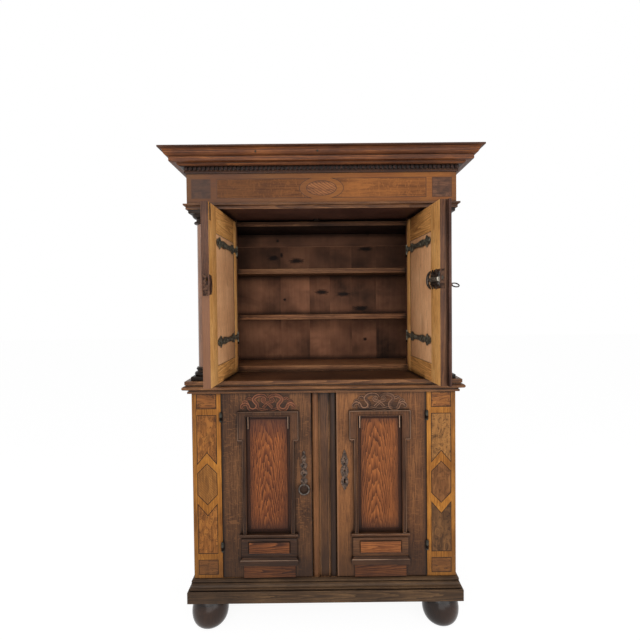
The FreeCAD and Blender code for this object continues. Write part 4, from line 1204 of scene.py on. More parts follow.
class Joinery:
    """Makes the finished copy of a packed wooden node: merged, with eased edges and grain."""

    FLAT_ANGLE = 0.6
    EDGE_ANGLE = 32
    FACING_LEAST = 0.4
    FACED_SPREAD = 0.06

    @staticmethod
    def shells(node: str) -> list[tuple[list[Vector], list[list[int]]]]:
        """Return each solid of a node as points and triangles of its own.

        Args:
            node: The node's name.

        Returns:
            The solids.
        """
        mesh = frame["nodes"][node].data
        key_of = [tuple(round(part, 5) for part in vertex.co) for vertex in mesh.vertices]
        faces = [[key_of[vertex] for vertex in polygon.vertices] for polygon in mesh.polygons]
        faces = [face for face in faces if len(set(face)) == 3]
        sides: dict[frozenset, list[int]] = {}
        for number, face in enumerate(faces):
            for i in range(3):
                sides.setdefault(frozenset((face[i], face[i - 1])), []).append(number)
        group = [-1] * len(faces)
        count = 0
        for start in range(len(faces)):
            if group[start] >= 0:
                continue
            group[start] = count
            waiting = [start]
            while waiting:
                face = faces[waiting.pop()]
                for i in range(3):
                    pair = sides[frozenset((face[i], face[i - 1]))]
                    for other in pair if len(pair) == 2 else ():
                        if group[other] < 0:
                            group[other] = count
                            waiting.append(other)
            count += 1
        shells = []
        for number in range(count):
            places: dict[tuple, int] = {}
            triangles = []
            for face, owner in zip(faces, group):
                if owner == number:
                    triangles.append([places.setdefault(key, len(places)) for key in face])
            shells.append(([Vector(key) for key in places], triangles))
        return shells

    @staticmethod
    def eased(node: str, ease: float = EASE) -> Piece:
        """Return a copy of a node with its edges eased.

        Args:
            node: The node's name.
            ease: The width of the eased edges in metres, or 0.

        Returns:
            The copy, whose eased faces have 1 in the attribute named edge.
        """
        points: list[Vector] = []
        triangles: list[list[int]] = []
        for places, faces in Joinery.shells(node):
            first = len(points)
            points += places
            triangles += [[vertex + first for vertex in face] for face in faces]
        mesh = bpy.data.meshes.new(f"{node}_finished")
        mesh.from_pydata(points, [], triangles)
        piece = bpy.data.objects.new(f"{node}_finished", mesh)
        bpy.context.scene.collection.objects.link(piece)
        Bench.pick_all(piece)
        bpy.ops.mesh.dissolve_limited(angle_limit=math.radians(Joinery.FLAT_ANGLE))
        Bench.clear()
        for _ in ("wood", "edge"):
            mesh.materials.append(None)
        if ease:
            Bench.soften(piece, ease, Joinery.EDGE_ANGLE, material=1, use_clamp_overlap=True)
        mesh = piece.data
        edge = mesh.attributes.new("edge", "FLOAT", "FACE")
        for polygon in mesh.polygons:
            edge.data[polygon.index].value = float(polygon.material_index == 1)
            polygon.material_index = 0
        return piece

    @staticmethod
    def dress(
        node: str, wood: Wood, ease: float = EASE, turn: float = 0.0, shade: Optional[Shade] = None,
        spread: float = Grain.SPREAD,
    ) -> Piece:
        """Replace a wooden node by its finished copy.

        Args:
            node: The node's name.
            wood: Its wood.
            ease: The width of the eased edges in metres.
            turn: How far it stands turned, in degrees.
            shade: Gives how much lighter a board is from its middle.
            spread: How much its boards differ by chance.

        Returns:
            The finished piece.
        """
        piece = Joinery.eased(node, ease)
        Grain.write(piece, turn, shade, spread)
        return Bench.stand_in(piece, wood, node)

    @staticmethod
    def two_faced(
        node: str, face: Wood, rest: Wood, facing: Vector, turn: float = 0.0, shade: Optional[Shade] = None,
    ) -> Piece:
        """Replace a wooden node by a copy that shows another finish on one side.

        Args:
            node: The node's name.
            face: The finish of that side.
            rest: The finish of the other sides.
            facing: Where that side faces.
            turn: How far the node stands turned, in degrees.
            shade: Gives how much lighter a board is from its middle.

        Returns:
            The finished piece.
        """
        piece = Joinery.eased(node)
        Grain.write(piece, turn, shade, Joinery.FACED_SPREAD)
        mesh = piece.data
        mesh.materials.clear()
        for wood in (face, rest):
            mesh.materials.append(wood.material())
        for polygon in mesh.polygons:
            polygon.material_index = int(polygon.normal.dot(facing) < Joinery.FACING_LEAST)
        return Bench.stand_in(piece, None, node)


@dataclass
class Carcass:
    """The plain joinery: boards, posts, mouldings, columns and doors."""

    light_boards: Pair = (-0.2, -0.04)
    board_lift: float = 0.04
    board_spread: float = 0.05
    stile_span: Pair = (1.15, 1.64)
    stile_lift: float = 0.04
    rail_lift: float = -0.06
    dark_rail_from: float = 1.6
    dark_rail_lift: float = -0.2
    inner_stile: float = 0.15
    top_rail_from: float = 0.85
    left_lift: float = 0.08
    right_lifts: Triple = (0.16, 0.34, 0.08)
    boards: tuple[tuple[Wood, float, tuple[str, ...]], ...] = (
        (CASE_OAK, EASE, ("waist_moulding", "lower_top", "lower_bottom")),
        (LEDGE_OAK, EASE, ("ledge_board",)),
        (BASE_OAK, EASE, ("base_moulding", "base_frame")),
        (SIDE_OAK, EASE, ("lower_left_side", "lower_right_side", "upper_left_side", "upper_right_side")),
        (CASE_OAK, 0.0, ("left_pilaster", "right_pilaster")),
        (POST_OAK, EASE, ("centre_post",)),
        (SIDE_OAK, EASE, ("upper_left_stile", "upper_right_stile")),
        (CORNICE_OAK, EASE, ("cornice", "frieze_boards", "cornice_lid")),
        (SOFFIT_OAK, EASE, ("soffit_board",)),
        (CASE_OAK, 0.0008, ("frieze_moulding",)),
        (DENTIL_OAK, 0.0006, ("dentils",)),
        (SHELF_PINE, EASE, ("upper_bottom", "upper_shelves")),
        (PINE, EASE, ("lower_back_boards", "lower_shelf", "cleats_and_stops")),
        (EBONY, 0.0008, ("column_bases", "column_capitals")),
        (COLUMN_WALNUT, 0.0, ("column_shafts",)),
        (FOOT_WOOD, 0.0, ("bun_feet",)),
    )

    def back_shade(self, middle: Vector) -> float:
        """Return how much lighter an upper back board is."""
        low, high = self.light_boards
        return self.board_lift if low < middle.x < high else 0.0

    def rail_shade(self, middle: Vector) -> float:
        """Return how much lighter an upper door's stile or rail is."""
        low, high = self.stile_span
        if low < middle.z < high:
            return self.stile_lift
        return self.dark_rail_lift if middle.x > 0 and middle.z > self.dark_rail_from else self.rail_lift

    def door_shade(self, middle: Vector) -> float:
        """Return how much lighter a member of a lower door is."""
        if middle.x < 0:
            return self.left_lift if middle.x > -self.inner_stile else 0.0
        top, inner, outer = self.right_lifts
        if middle.z > self.top_rail_from:
            return top
        return inner if middle.x < self.inner_stile else outer

    def doors(self, side: Side, turn: float, outside: Wood, oak: Wood) -> None:
        """Finish the upper and the lower door of one side.

        Args:
            side: The side.
            turn: How far the upper door stands open, in degrees.
            outside: The wood of the upper door's outer face.
            oak: The wood of the lower door.
        """
        inward = Matrix.Rotation(math.radians(turn), 3, "Z") @ Vector((0, 1, 0))
        Joinery.two_faced(f"upper_{side.label}_door_frame", TAN_OAK, outside, inward, turn, self.rail_shade)
        Joinery.two_faced(f"upper_{side.label}_door_panel", TAN_PANEL, PANEL_BACK, inward, turn)
        Joinery.dress(f"lower_{side.label}_door_frame", oak, 0.0, shade=self.door_shade)

    def build(self) -> None:
        """Finish every wooden node that keeps its shape."""
        for wood, ease, nodes in self.boards:
            for node in nodes:
                Joinery.dress(node, wood, ease)
        # The top's front edge in shelf pine, its other faces in painted shadow.
        Joinery.two_faced("upper_top", SHELF_PINE, TOP_SHADOW_PINE, Vector((0, -1, 0)))
        Joinery.dress("upper_back_boards", BACK_PINE, shade=self.back_shade, spread=self.board_spread)
        self.doors(Side.LEFT, -LEFT_TURN, LEFT_DOOR_OAK, DOOR_OAK)
        self.doors(Side.RIGHT, RIGHT_TURN, RIGHT_SIDE_OAK, RIGHT_DOOR_OAK)
        Joinery.dress("upper_right_cover_strip", COVER_OAK, turn=RIGHT_TURN)


@dataclass
class Marquetry:
    """The veneered pilasters and frieze, with dark stringing round each panel."""

    string_width: float = 0.003
    frieze_low: float = 1.78
    field_least: float = 0.3
    squares_from: float = 0.3
    end_most: float = 0.1
    hexagon_level: float = 0.62055
    hexagon_reach: float = 0.03
    front_facing: float = -0.9
    spread: float = 0.06

    def choose(self, low: Vector, high: Vector) -> Finish:
        """Return the veneer of a panel from its corners."""
        middle = (low + high) / 2
        if middle.z > self.frieze_low:
            if high.x - low.x > self.field_least:
                return FRIEZE_VENEER
            return SQUARE_BURL if abs(middle.x) > self.squares_from else OVAL
        if high.z - low.z < self.end_most:
            return END_BURL
        if abs(middle.z - self.hexagon_level) < self.hexagon_reach:
            return HEXAGON if middle.x < 0 else RIGHT_HEXAGON
        if middle.x < 0:
            return PILASTER_BURL
        return RIGHT_BURL if middle.z > self.hexagon_level else LOW_BURL

    def panels(self) -> None:
        """Make the burl panels, with the stringing inset at their edges."""
        node = "marquetry_burl"
        piece = Joinery.eased(node, 0.0)
        Grain.write(piece, spread=self.spread)
        mesh = piece.data
        finishes: list[Finish] = [STRINGING]
        choice = [0] * len(mesh.vertices)
        for shell in Grain.shells(mesh):
            finish = self.choose(*corners([mesh.vertices[vertex].co for vertex in shell]))
            if finish not in finishes:
                finishes.append(finish)
            for vertex in shell:
                choice[vertex] = finishes.index(finish)
        mesh.materials.clear()
        for finish in finishes:
            mesh.materials.append(finish.material())
        kind = mesh.attributes.new("kind", "INT", "FACE")
        for polygon in mesh.polygons:
            kind.data[polygon.index].value = choice[polygon.vertices[0]]
        Bench.pick(piece, Pick.FACE, lambda face: face.normal.y < self.front_facing)
        bpy.ops.mesh.inset(thickness=self.string_width, use_boundary=True)
        Bench.clear()
        mesh = piece.data
        kinds = mesh.attributes["kind"]
        for polygon in mesh.polygons:
            if polygon.select and polygon.normal.y < self.front_facing:
                polygon.material_index = kinds.data[polygon.index].value
        Bench.stand_in(piece, None, node)

    def build(self) -> None:
        """Make the panels and the bands between them."""
        Joinery.dress("marquetry_banding", BAND_VENEER, 0.0)
        self.panels()


@dataclass
class DoorOrnament:
    """What is applied to one lower door: eared frame, crest, mouldings, block and board."""

    side: Side
    relief_wood: Wood
    crest_wood: Wood
    panel_wood: Wood
    shift: float = DOOR_MIDDLE
    panel_half: float = 92.0
    panel_front: float = 6.0
    panel_margin: float = 12.5
    panel_raise: Pair = (1.5, 2.5)
    panel_spread: float = 0.04
    low: float = 412.4
    ear_low: float = 805.0
    high: float = 905.0
    top: float = 926.0
    leg: float = 16.0
    ear: float = 34.5
    thickness: float = 14.0
    fillet: float = 2.8
    fillet_slope: float = 1.2
    sink: float = 4.5
    bead_inset: float = 9.0
    bead_half: float = 2.6
    bead_length: float = 54.0
    bead_span: Pair = (-5.0, 6.0)
    drop_out: float = 24.0
    drop_half: float = 8.0
    drop_depth: float = 12.0
    drop_fall: float = 10.0
    moulding_half: float = 121.5
    moulding_depth: float = 20.0
    ledge_cove: float = 11.0
    foot_cove: float = 12.0
    cove_profile: float = 0.22
    cove_segments: int = 6
    block_half: float = 115.5
    block_low: float = 315.4
    block_high: float = 392.4
    block_depth: float = 12.0
    block_margin: float = 10.5
    block_narrow: float = 0.848
    block_groove: float = 3.0
    block_raise: Pair = (2.0, 6.0)
    board_half: float = 108.5
    board_low: float = 224.0
    board_high: float = 282.4
    board_depth: float = 6.0
    spread: float = 0.08
    near: float = 0.0005
    slack: float = 1.0
    frame_ease: Pair = (0.0009, 30)
    bead_ease: float = 0.0016
    drop_ease: float = 0.004
    moulding_ease: Pair = (0.0008, 35)
    block_ease: Pair = (0.0009, 25)
    board_ease: float = 0.0015
    front_facing: float = -0.9
    rim_facing: float = 0.3
    fillet_reach: float = 0.0004
    bead_reach: float = 0.0006
    worn_aside: float = 6.0
    worn_below_top: float = 4.0
    least_edge_share: float = 0.75
    bead_worn_from: float = 840.0
    worn_bead: float = -4.5
    worn_rim: float = -18.5
    worn_crown: float = -2.2
    high_fillet_wear: float = 0.75
    low_fillet_wear: float = 0.3
    outer_bead_wear: float = 1.0
    bead_wear: float = 3.0
    rim_wear: float = 1.0
    crest_wear: float = 1.5
    ribbon: Pair = (5.4, 2.6)
    ribbon_half: float = 5.0
    bead: Pair = (2.1, -1.8)
    scroll_flatness: float = 0.75
    scrolls: tuple[tuple[Triple, ...], ...] = (
        (
            (20, 13, 0.9), (11, 23, 0.9), (0, 33, 0.8), (-8, 39, 0.8), (-17, 37, 0.9), (-25, 45, 0.9),
            (-21, 54, 0.8), (-13, 53, 0.7), (-10, 46, 0.6), (-15, 44, 0.5),
        ),
        (
            (-4, 54, 0.6), (-10, 62, 0.8), (-18, 66, 0.9), (-35, 67, 1.0), (-54, 59, 1.1), (-60, 47, 1.1),
            (-53, 38, 1.1), (-46, 31, 1.1), (-42, 22, 1.1), (-46, 11, 1.1), (-58, 4, 1.1), (-71, 5, 1.1),
            (-80, 13, 1.0), (-82, 24, 1.0), (-92, 31, 1.0), (-105, 27, 1.0), (-112, 17, 0.9),
            (-107, 11, 0.7), (-100, 14, 0.6),
        ),
        ((-60, 50, 0.6), (-70, 50, 0.9), (-76, 56, 0.8), (-84, 52, 0.6), (-86, 46, 0.4)),
        ((-82, 26, 0.6), (-86, 38, 0.9), (-97, 42, 0.9), (-104, 37, 0.6), (-100, 33, 0.4)),
        ((-50, 8, 0.6), (-36, 10, 0.8), (-24, 6, 0.8), (-10, 4, 0.7), (0, 4, 0.7)),
    )

    @property
    def centre(self) -> float:
        """Return the ornament's middle in millimetres."""
        return self.side.value * self.shift

    def eared_frame(self) -> Piece:
        """Return the eared frame: a flat band with a fillet along its edges and a sunk middle."""
        outer = self.panel_half + self.ear
        leg = self.panel_half + self.leg
        columns = [-outer, -leg, -self.panel_half, self.panel_half, leg, outer]
        rows = [self.low, self.ear_low, self.high, self.top]
        across = len(columns) - 1
        up = len(rows) - 1
        piece = Bench.grid("eared_frame", across, up)
        for vertex in piece.data.vertices:
            column = round((vertex.co.x + 0.5) * across)
            row = round((vertex.co.z + 0.5) * up)
            vertex.co = at(self.centre + columns[column], 0, rows[row])
        cut_in = (self.panel_half - self.slack) / MM
        cut_out = (leg + self.slack) / MM
        middle = self.centre / MM

        def spare(face: bmesh.types.BMFace) -> bool:
            """Say whether a face lies outside the band."""
            spot = face.calc_center_median()
            offset = abs(spot.x - middle)
            inside = offset < cut_in and spot.z < self.high / MM
            return inside or (offset > cut_out and spot.z < self.ear_low / MM)

        Bench.pick(piece, Pick.FACE, spare)
        bpy.ops.mesh.delete(type="FACE")
        Bench.thicken(piece, -self.thickness / MM)
        self.pick_front(piece, self.thickness)
        bpy.ops.mesh.inset(thickness=self.fillet / MM, use_boundary=True)
        bpy.ops.mesh.inset(thickness=self.fillet_slope / MM, depth=-self.sink / MM, use_boundary=True)
        Bench.clear()
        Bench.soften(piece, *self.frame_ease)
        return piece

    def pick_front(self, piece: Piece, depth: float) -> None:
        """Select a piece's front, which stands out from the door by a depth."""
        limit = at(0, -depth, 0).y + self.near
        Bench.pick(piece, Pick.FACE, lambda face: face.calc_center_median().y < limit)

    def ear_beads(self) -> list[Piece]:
        """Return the short beads inside the ears and the drops under them."""
        beads = []
        front, back = self.bead_span
        for way in (-1, 1):
            inner = self.centre + way * (self.panel_half - self.bead_inset)
            low = at(inner - self.bead_half, front, self.high - self.bead_length)
            beads.append(Bench.block("bead", low, at(inner + self.bead_half, back, self.high)))
            Bench.soften(beads[-1], self.bead_ease, segments=3)
            middle = self.centre + way * (self.panel_half + self.drop_out)
            low = at(middle - self.drop_half, -self.drop_depth, self.ear_low - self.drop_fall)
            high = at(middle + self.drop_half, 0, self.ear_low + self.slack)
            beads.append(Bench.block("drop", low, high))
            Bench.soften(beads[-1], self.drop_ease, segments=4)
        return beads

    def scroll(self, line: Sequence[Triple], way: int) -> list[Piece]:
        """Return one scroll of the crest: a low ribbon between two raised edges.

        Args:
            line: Points along the scroll, each with its share of the full width.
            way: 1 for the scroll as drawn, -1 for its mirror image.

        Returns:
            The ribbon and its edges.
        """
        spots = [(Vector((way * across, rise)), share) for across, rise, share in line]
        parts = []
        for aside, (radius, depth) in ((0, self.ribbon), (-1, self.bead), (1, self.bead)):
            points = []
            for index, (spot, share) in enumerate(spots):
                onward = spots[min(index + 1, len(spots) - 1)][0] - spots[max(index - 1, 0)][0]
                across = Vector((-onward.y, onward.x)).normalized() * (aside * self.ribbon_half * share)
                place = at(self.centre + spot.x + across.x, depth, self.top + spot.y + across.y)
                points.append((place, max(share, self.least_edge_share) if aside else share))
            parts.append(Bench.rod("scroll", points, radius / MM))
        return parts

    def crest(self) -> Piece:
        """Return the carved crest, its scrolls drawn once and mirrored."""
        scrolls = [part for line in self.scrolls for way in (-1, 1) for part in self.scroll(line, way)]
        piece = Bench.join(f"lower_{self.side.label}_crest", scrolls)
        ground = at(0, 0, 0).y
        for vertex in piece.data.vertices:
            vertex.co.y = ground + (vertex.co.y - ground) * self.scroll_flatness
        return piece

    def moulding(self, name: str, low: float, high: float, cove: float, under: bool) -> Piece:
        """Return a short moulding with a hollow along one edge.

        Args:
            name: The piece's name.
            low: Its foot.
            high: Its head.
            cove: The size of the hollow.
            under: Whether the hollow is below rather than above.

        Returns:
            The moulding.
        """
        corner = at(self.centre - self.moulding_half, -self.moulding_depth, low)
        piece = Bench.block(name, corner, at(self.centre + self.moulding_half, 0, high))
        level = at(0, 0, low if under else high).z
        back = at(0, 0, 0).y

        def edge(item: bmesh.types.BMEdge) -> bool:
            """Say whether an edge is hollowed out."""
            ends = [vertex.co for vertex in item.verts]
            level_edge = all(abs(end.z - level) < Bench.MERGE_REACH for end in ends)
            return level_edge and any(end.y < back - self.near for end in ends)

        Bench.pick(piece, Pick.EDGE, edge)
        bpy.ops.mesh.bevel(
            offset=cove / MM, segments=self.cove_segments, profile=self.cove_profile, affect="EDGES",
        )
        Bench.clear()
        Bench.soften(piece, *self.moulding_ease)
        return piece

    def block(self) -> Piece:
        """Return the block with its raised field."""
        low = at(self.centre - self.block_half, -self.block_depth, self.block_low)
        piece = Bench.block("block", low, at(self.centre + self.block_half, 0, self.block_high))
        self.pick_front(piece, self.block_depth)
        bpy.ops.mesh.inset(thickness=self.block_margin / MM)
        middle = at(self.centre, -self.block_depth, (self.block_low + self.block_high) / 2)
        bpy.ops.transform.resize(value=(self.block_narrow, 1.0, 1.0), center_override=middle)
        bpy.ops.mesh.inset(thickness=self.block_groove / MM, depth=-self.block_groove / MM)
        slope, rise = self.block_raise
        bpy.ops.mesh.inset(thickness=slope / MM, depth=rise / MM)
        Bench.clear()
        piece.data.materials.append(self.relief_wood.material())
        piece.data.materials.append(FIELD_OAK.material())
        for polygon in piece.data.polygons:
            polygon.material_index = int(polygon.select)
        Bench.soften(piece, *self.block_ease)
        return piece

    def board(self) -> Piece:
        """Return the thin board at the door's foot."""
        low = at(self.centre - self.board_half, -self.board_depth, self.board_low)
        piece = Bench.block("board", low, at(self.centre + self.board_half, 0, self.board_high))
        piece.data.materials.append(FIELD_OAK.material())
        Bench.soften(piece, self.board_ease)
        return piece

    def panel(self) -> None:
        """Make the figured panel, with a raised field inside its margin."""
        node = f"lower_{self.side.label}_door_panel"
        piece = Joinery.eased(node, 0.0)
        front = at(0, self.panel_front, 0).y

        def outer(face: bmesh.types.BMFace) -> bool:
            """Say whether a face is the front of the panel."""
            flush = abs(face.calc_center_median().y - front) < self.near
            return flush and face.normal.y < self.front_facing

        Bench.pick(piece, Pick.FACE, outer)
        bpy.ops.mesh.inset(thickness=self.panel_margin / MM)
        slope, rise = self.panel_raise
        bpy.ops.mesh.inset(thickness=slope / MM, depth=rise / MM)
        Bench.clear()
        Grain.write(piece, spread=self.panel_spread)
        Bench.stand_in(piece, self.panel_wood, node)

    def build(self) -> None:
        """Make all pieces of the ornament and put them on their door."""
        node = f"lower_{self.side.label}_ornament"
        ledge = self.moulding("ledge", self.block_high, self.low, self.ledge_cove, True)
        foot = self.moulding("foot", self.board_high, self.block_low, self.foot_cove, False)
        plain = Bench.join(
            f"lower_{self.side.label}_applied", [self.eared_frame(), *self.ear_beads(), ledge, foot],
        )
        block = Bench.join(f"lower_{self.side.label}_block", [self.block(), self.board()])
        crest = self.crest()
        for piece, finish, stands_for in (
            (plain, self.relief_wood, [node]), (block, None, []), (crest, self.crest_wood, []),
        ):
            Grain.write(piece, spread=self.spread)
            self.wear(piece)
            Bench.finish(piece, finish, BODY_OF[node], SLOT_OF[node], stands_for)
        self.panel()

    def wear(self, piece: Piece) -> None:
        """Mark the faces that hands and cloths have worn light, and the ear beads that also carry a painted
        highlight.

        Args:
            piece: The applied frame and mouldings, or another piece that keeps its colour.
        """
        edge = piece.data.attributes.new("edge", "FLOAT", "FACE")
        depths = (-self.thickness, self.worn_bead, self.worn_rim, self.worn_crown)
        fillet, bead, rim, crown = (at(0, depth, 0).y for depth in depths)
        for polygon in piece.data.polygons:
            spot = polygon.center
            aside = spot.x * MM - self.centre
            level = spot.z * MM
            flat = polygon.normal.y < self.front_facing
            outside = abs(aside) > self.panel_half + self.worn_aside
            outside = outside or level > self.top - self.worn_below_top
            share = 0.0
            if flat and outside and abs(spot.y - fillet) < self.fillet_reach:
                upper = level > self.ear_low - self.slack
                share = self.high_fillet_wear if upper else self.low_fillet_wear
            # Ear beads: worn light, and past the highlight threshold a painted highlight as well.
            if flat and abs(spot.y - bead) < self.bead_reach and self.bead_worn_from < level < self.high:
                share = self.outer_bead_wear if self.side is Side.LEFT and aside < 0 else self.bead_wear
            if spot.y < rim and polygon.normal.z > self.rim_facing:
                share = self.rim_wear
            if level > self.top + self.slack and spot.y < crown:
                share = self.crest_wear
            edge.data[polygon.index].value = share


@dataclass(frozen=True)
class LobedPlate:
    """A forged plate with a lobed outline, pierced along its middle.

    Its stations are places along it with the half width there, and its pierced spots are
    places with the half length of the hole, all in millimetres.
    """

    name: str
    stations: Pairs
    thickness: float
    pierced: Pairs = ()
    hole_share: float = 0.34
    dome: float = 1.2
    steps: int = 5
    middle_reach: float = 0.6
    ease: Pair = (0.0007, 40)

    def outline(self) -> list[Pair]:
        """Return positions along the plate with their half widths, softly rounded."""
        spots = []
        for (start, first), (end, last) in zip(self.stations, self.stations[1:]):
            for step in range(self.steps):
                share = step / self.steps
                soft = (1 - math.cos(math.pi * share)) / 2
                spots.append((start + (end - start) * share, first + (last - first) * soft))
        spots.append(self.stations[-1])
        return spots

    def build(self, outward: int) -> Piece:
        """Return the plate in its own plane.

        Args:
            outward: 1 or -1, the side of the plane that it lies on.

        Returns:
            The plate, along x and with its width along z.
        """
        spots = self.outline()
        count = len(spots) - 1
        shares = (-1.0, -self.hole_share, self.hole_share, 1.0)
        up = len(shares) - 1
        piece = Bench.grid(self.name, count, up)
        for vertex in piece.data.vertices:
            along, half = spots[round((vertex.co.x + 0.5) * count)]
            share = shares[round((vertex.co.z + 0.5) * up)]
            rise = outward * self.dome * (1.0 - share * share)
            vertex.co = Vector((along, rise, half * share)) / MM

        def spare(face: bmesh.types.BMFace) -> bool:
            """Say whether a face lies in a hole."""
            spot = face.calc_center_median() * MM
            open_here = any(abs(spot.x - place) < reach for place, reach in self.pierced)
            return open_here and abs(spot.z) < self.middle_reach

        Bench.pick(piece, Pick.FACE, spare)
        bpy.ops.mesh.delete(type="FACE")
        Bench.thicken(piece, outward * self.thickness / MM)
        Bench.soften(piece, *self.ease)
        return piece

    def nails(
        self, places: Iterable[Pair], outward: int, radius: float = 3.6,
    ) -> list[Piece]:
        """Return nail heads on the plate's outer side, at places along and across it."""
        height = outward * (self.thickness + self.dome) / MM
        return [
            Bench.nail(Vector((along / MM, height, across / MM)), Vector((0, outward, 0)), radius / MM)
            for along, across in places
        ]


STRAP = LobedPlate(
    "strap",
    (
        (5, 8), (14, 16), (26, 10), (52, 9), (68, 20), (82, 19), (98, 11), (130, 9), (160, 9.5), (188, 13),
        (214, 15), (232, 10), (246, 11), (262, 24), (272, 16), (286, 14), (296, 9), (301, 3),
    ),
    3.0, ((76, 7), (202, 6), (276, 5)),
)
LOCK_PLATE = LobedPlate(
    "lock_plate",
    (
        (308, 22), (316, 30), (324, 38), (331, 30), (342, 28), (352, 30), (360, 39), (367, 30), (380, 29),
        (394, 27),
    ),
    3.0, (), 0.4, 2.5,
)
STRIKE_LAP = LobedPlate(
    "strike_lap", ((366, 10), (370, 26), (376, 37), (384, 33), (390, 38), (396, 38)), 1.6, (), 0.4, 0.6,
)
PULL_PLATE = LobedPlate(
    "plate",
    (
        (0, 4), (6, 13), (16, 15), (26, 8), (34, 7), (44, 15), (54, 13), (62, 6), (72, 12), (82, 15), (92, 7),
        (100, 6), (110, 11), (118, 8), (126, 4), (134, 7), (141, 2),
    ),
    2.2, ((46, 6), (80, 6), (110, 5)),
)
KEYHOLE_PLATE = LobedPlate(
    "plate",
    (
        (0, 2), (10, 6), (20, 12), (32, 16), (44, 14), (54, 10), (64, 13), (78, 17), (92, 14), (102, 10),
        (114, 14), (128, 15), (140, 10), (150, 8), (158, 5), (164, 4), (170, 1.5),
    ),
    2.2, ((39, 9), (78, 7), (112, 6), (136, 5)), 0.24,
)


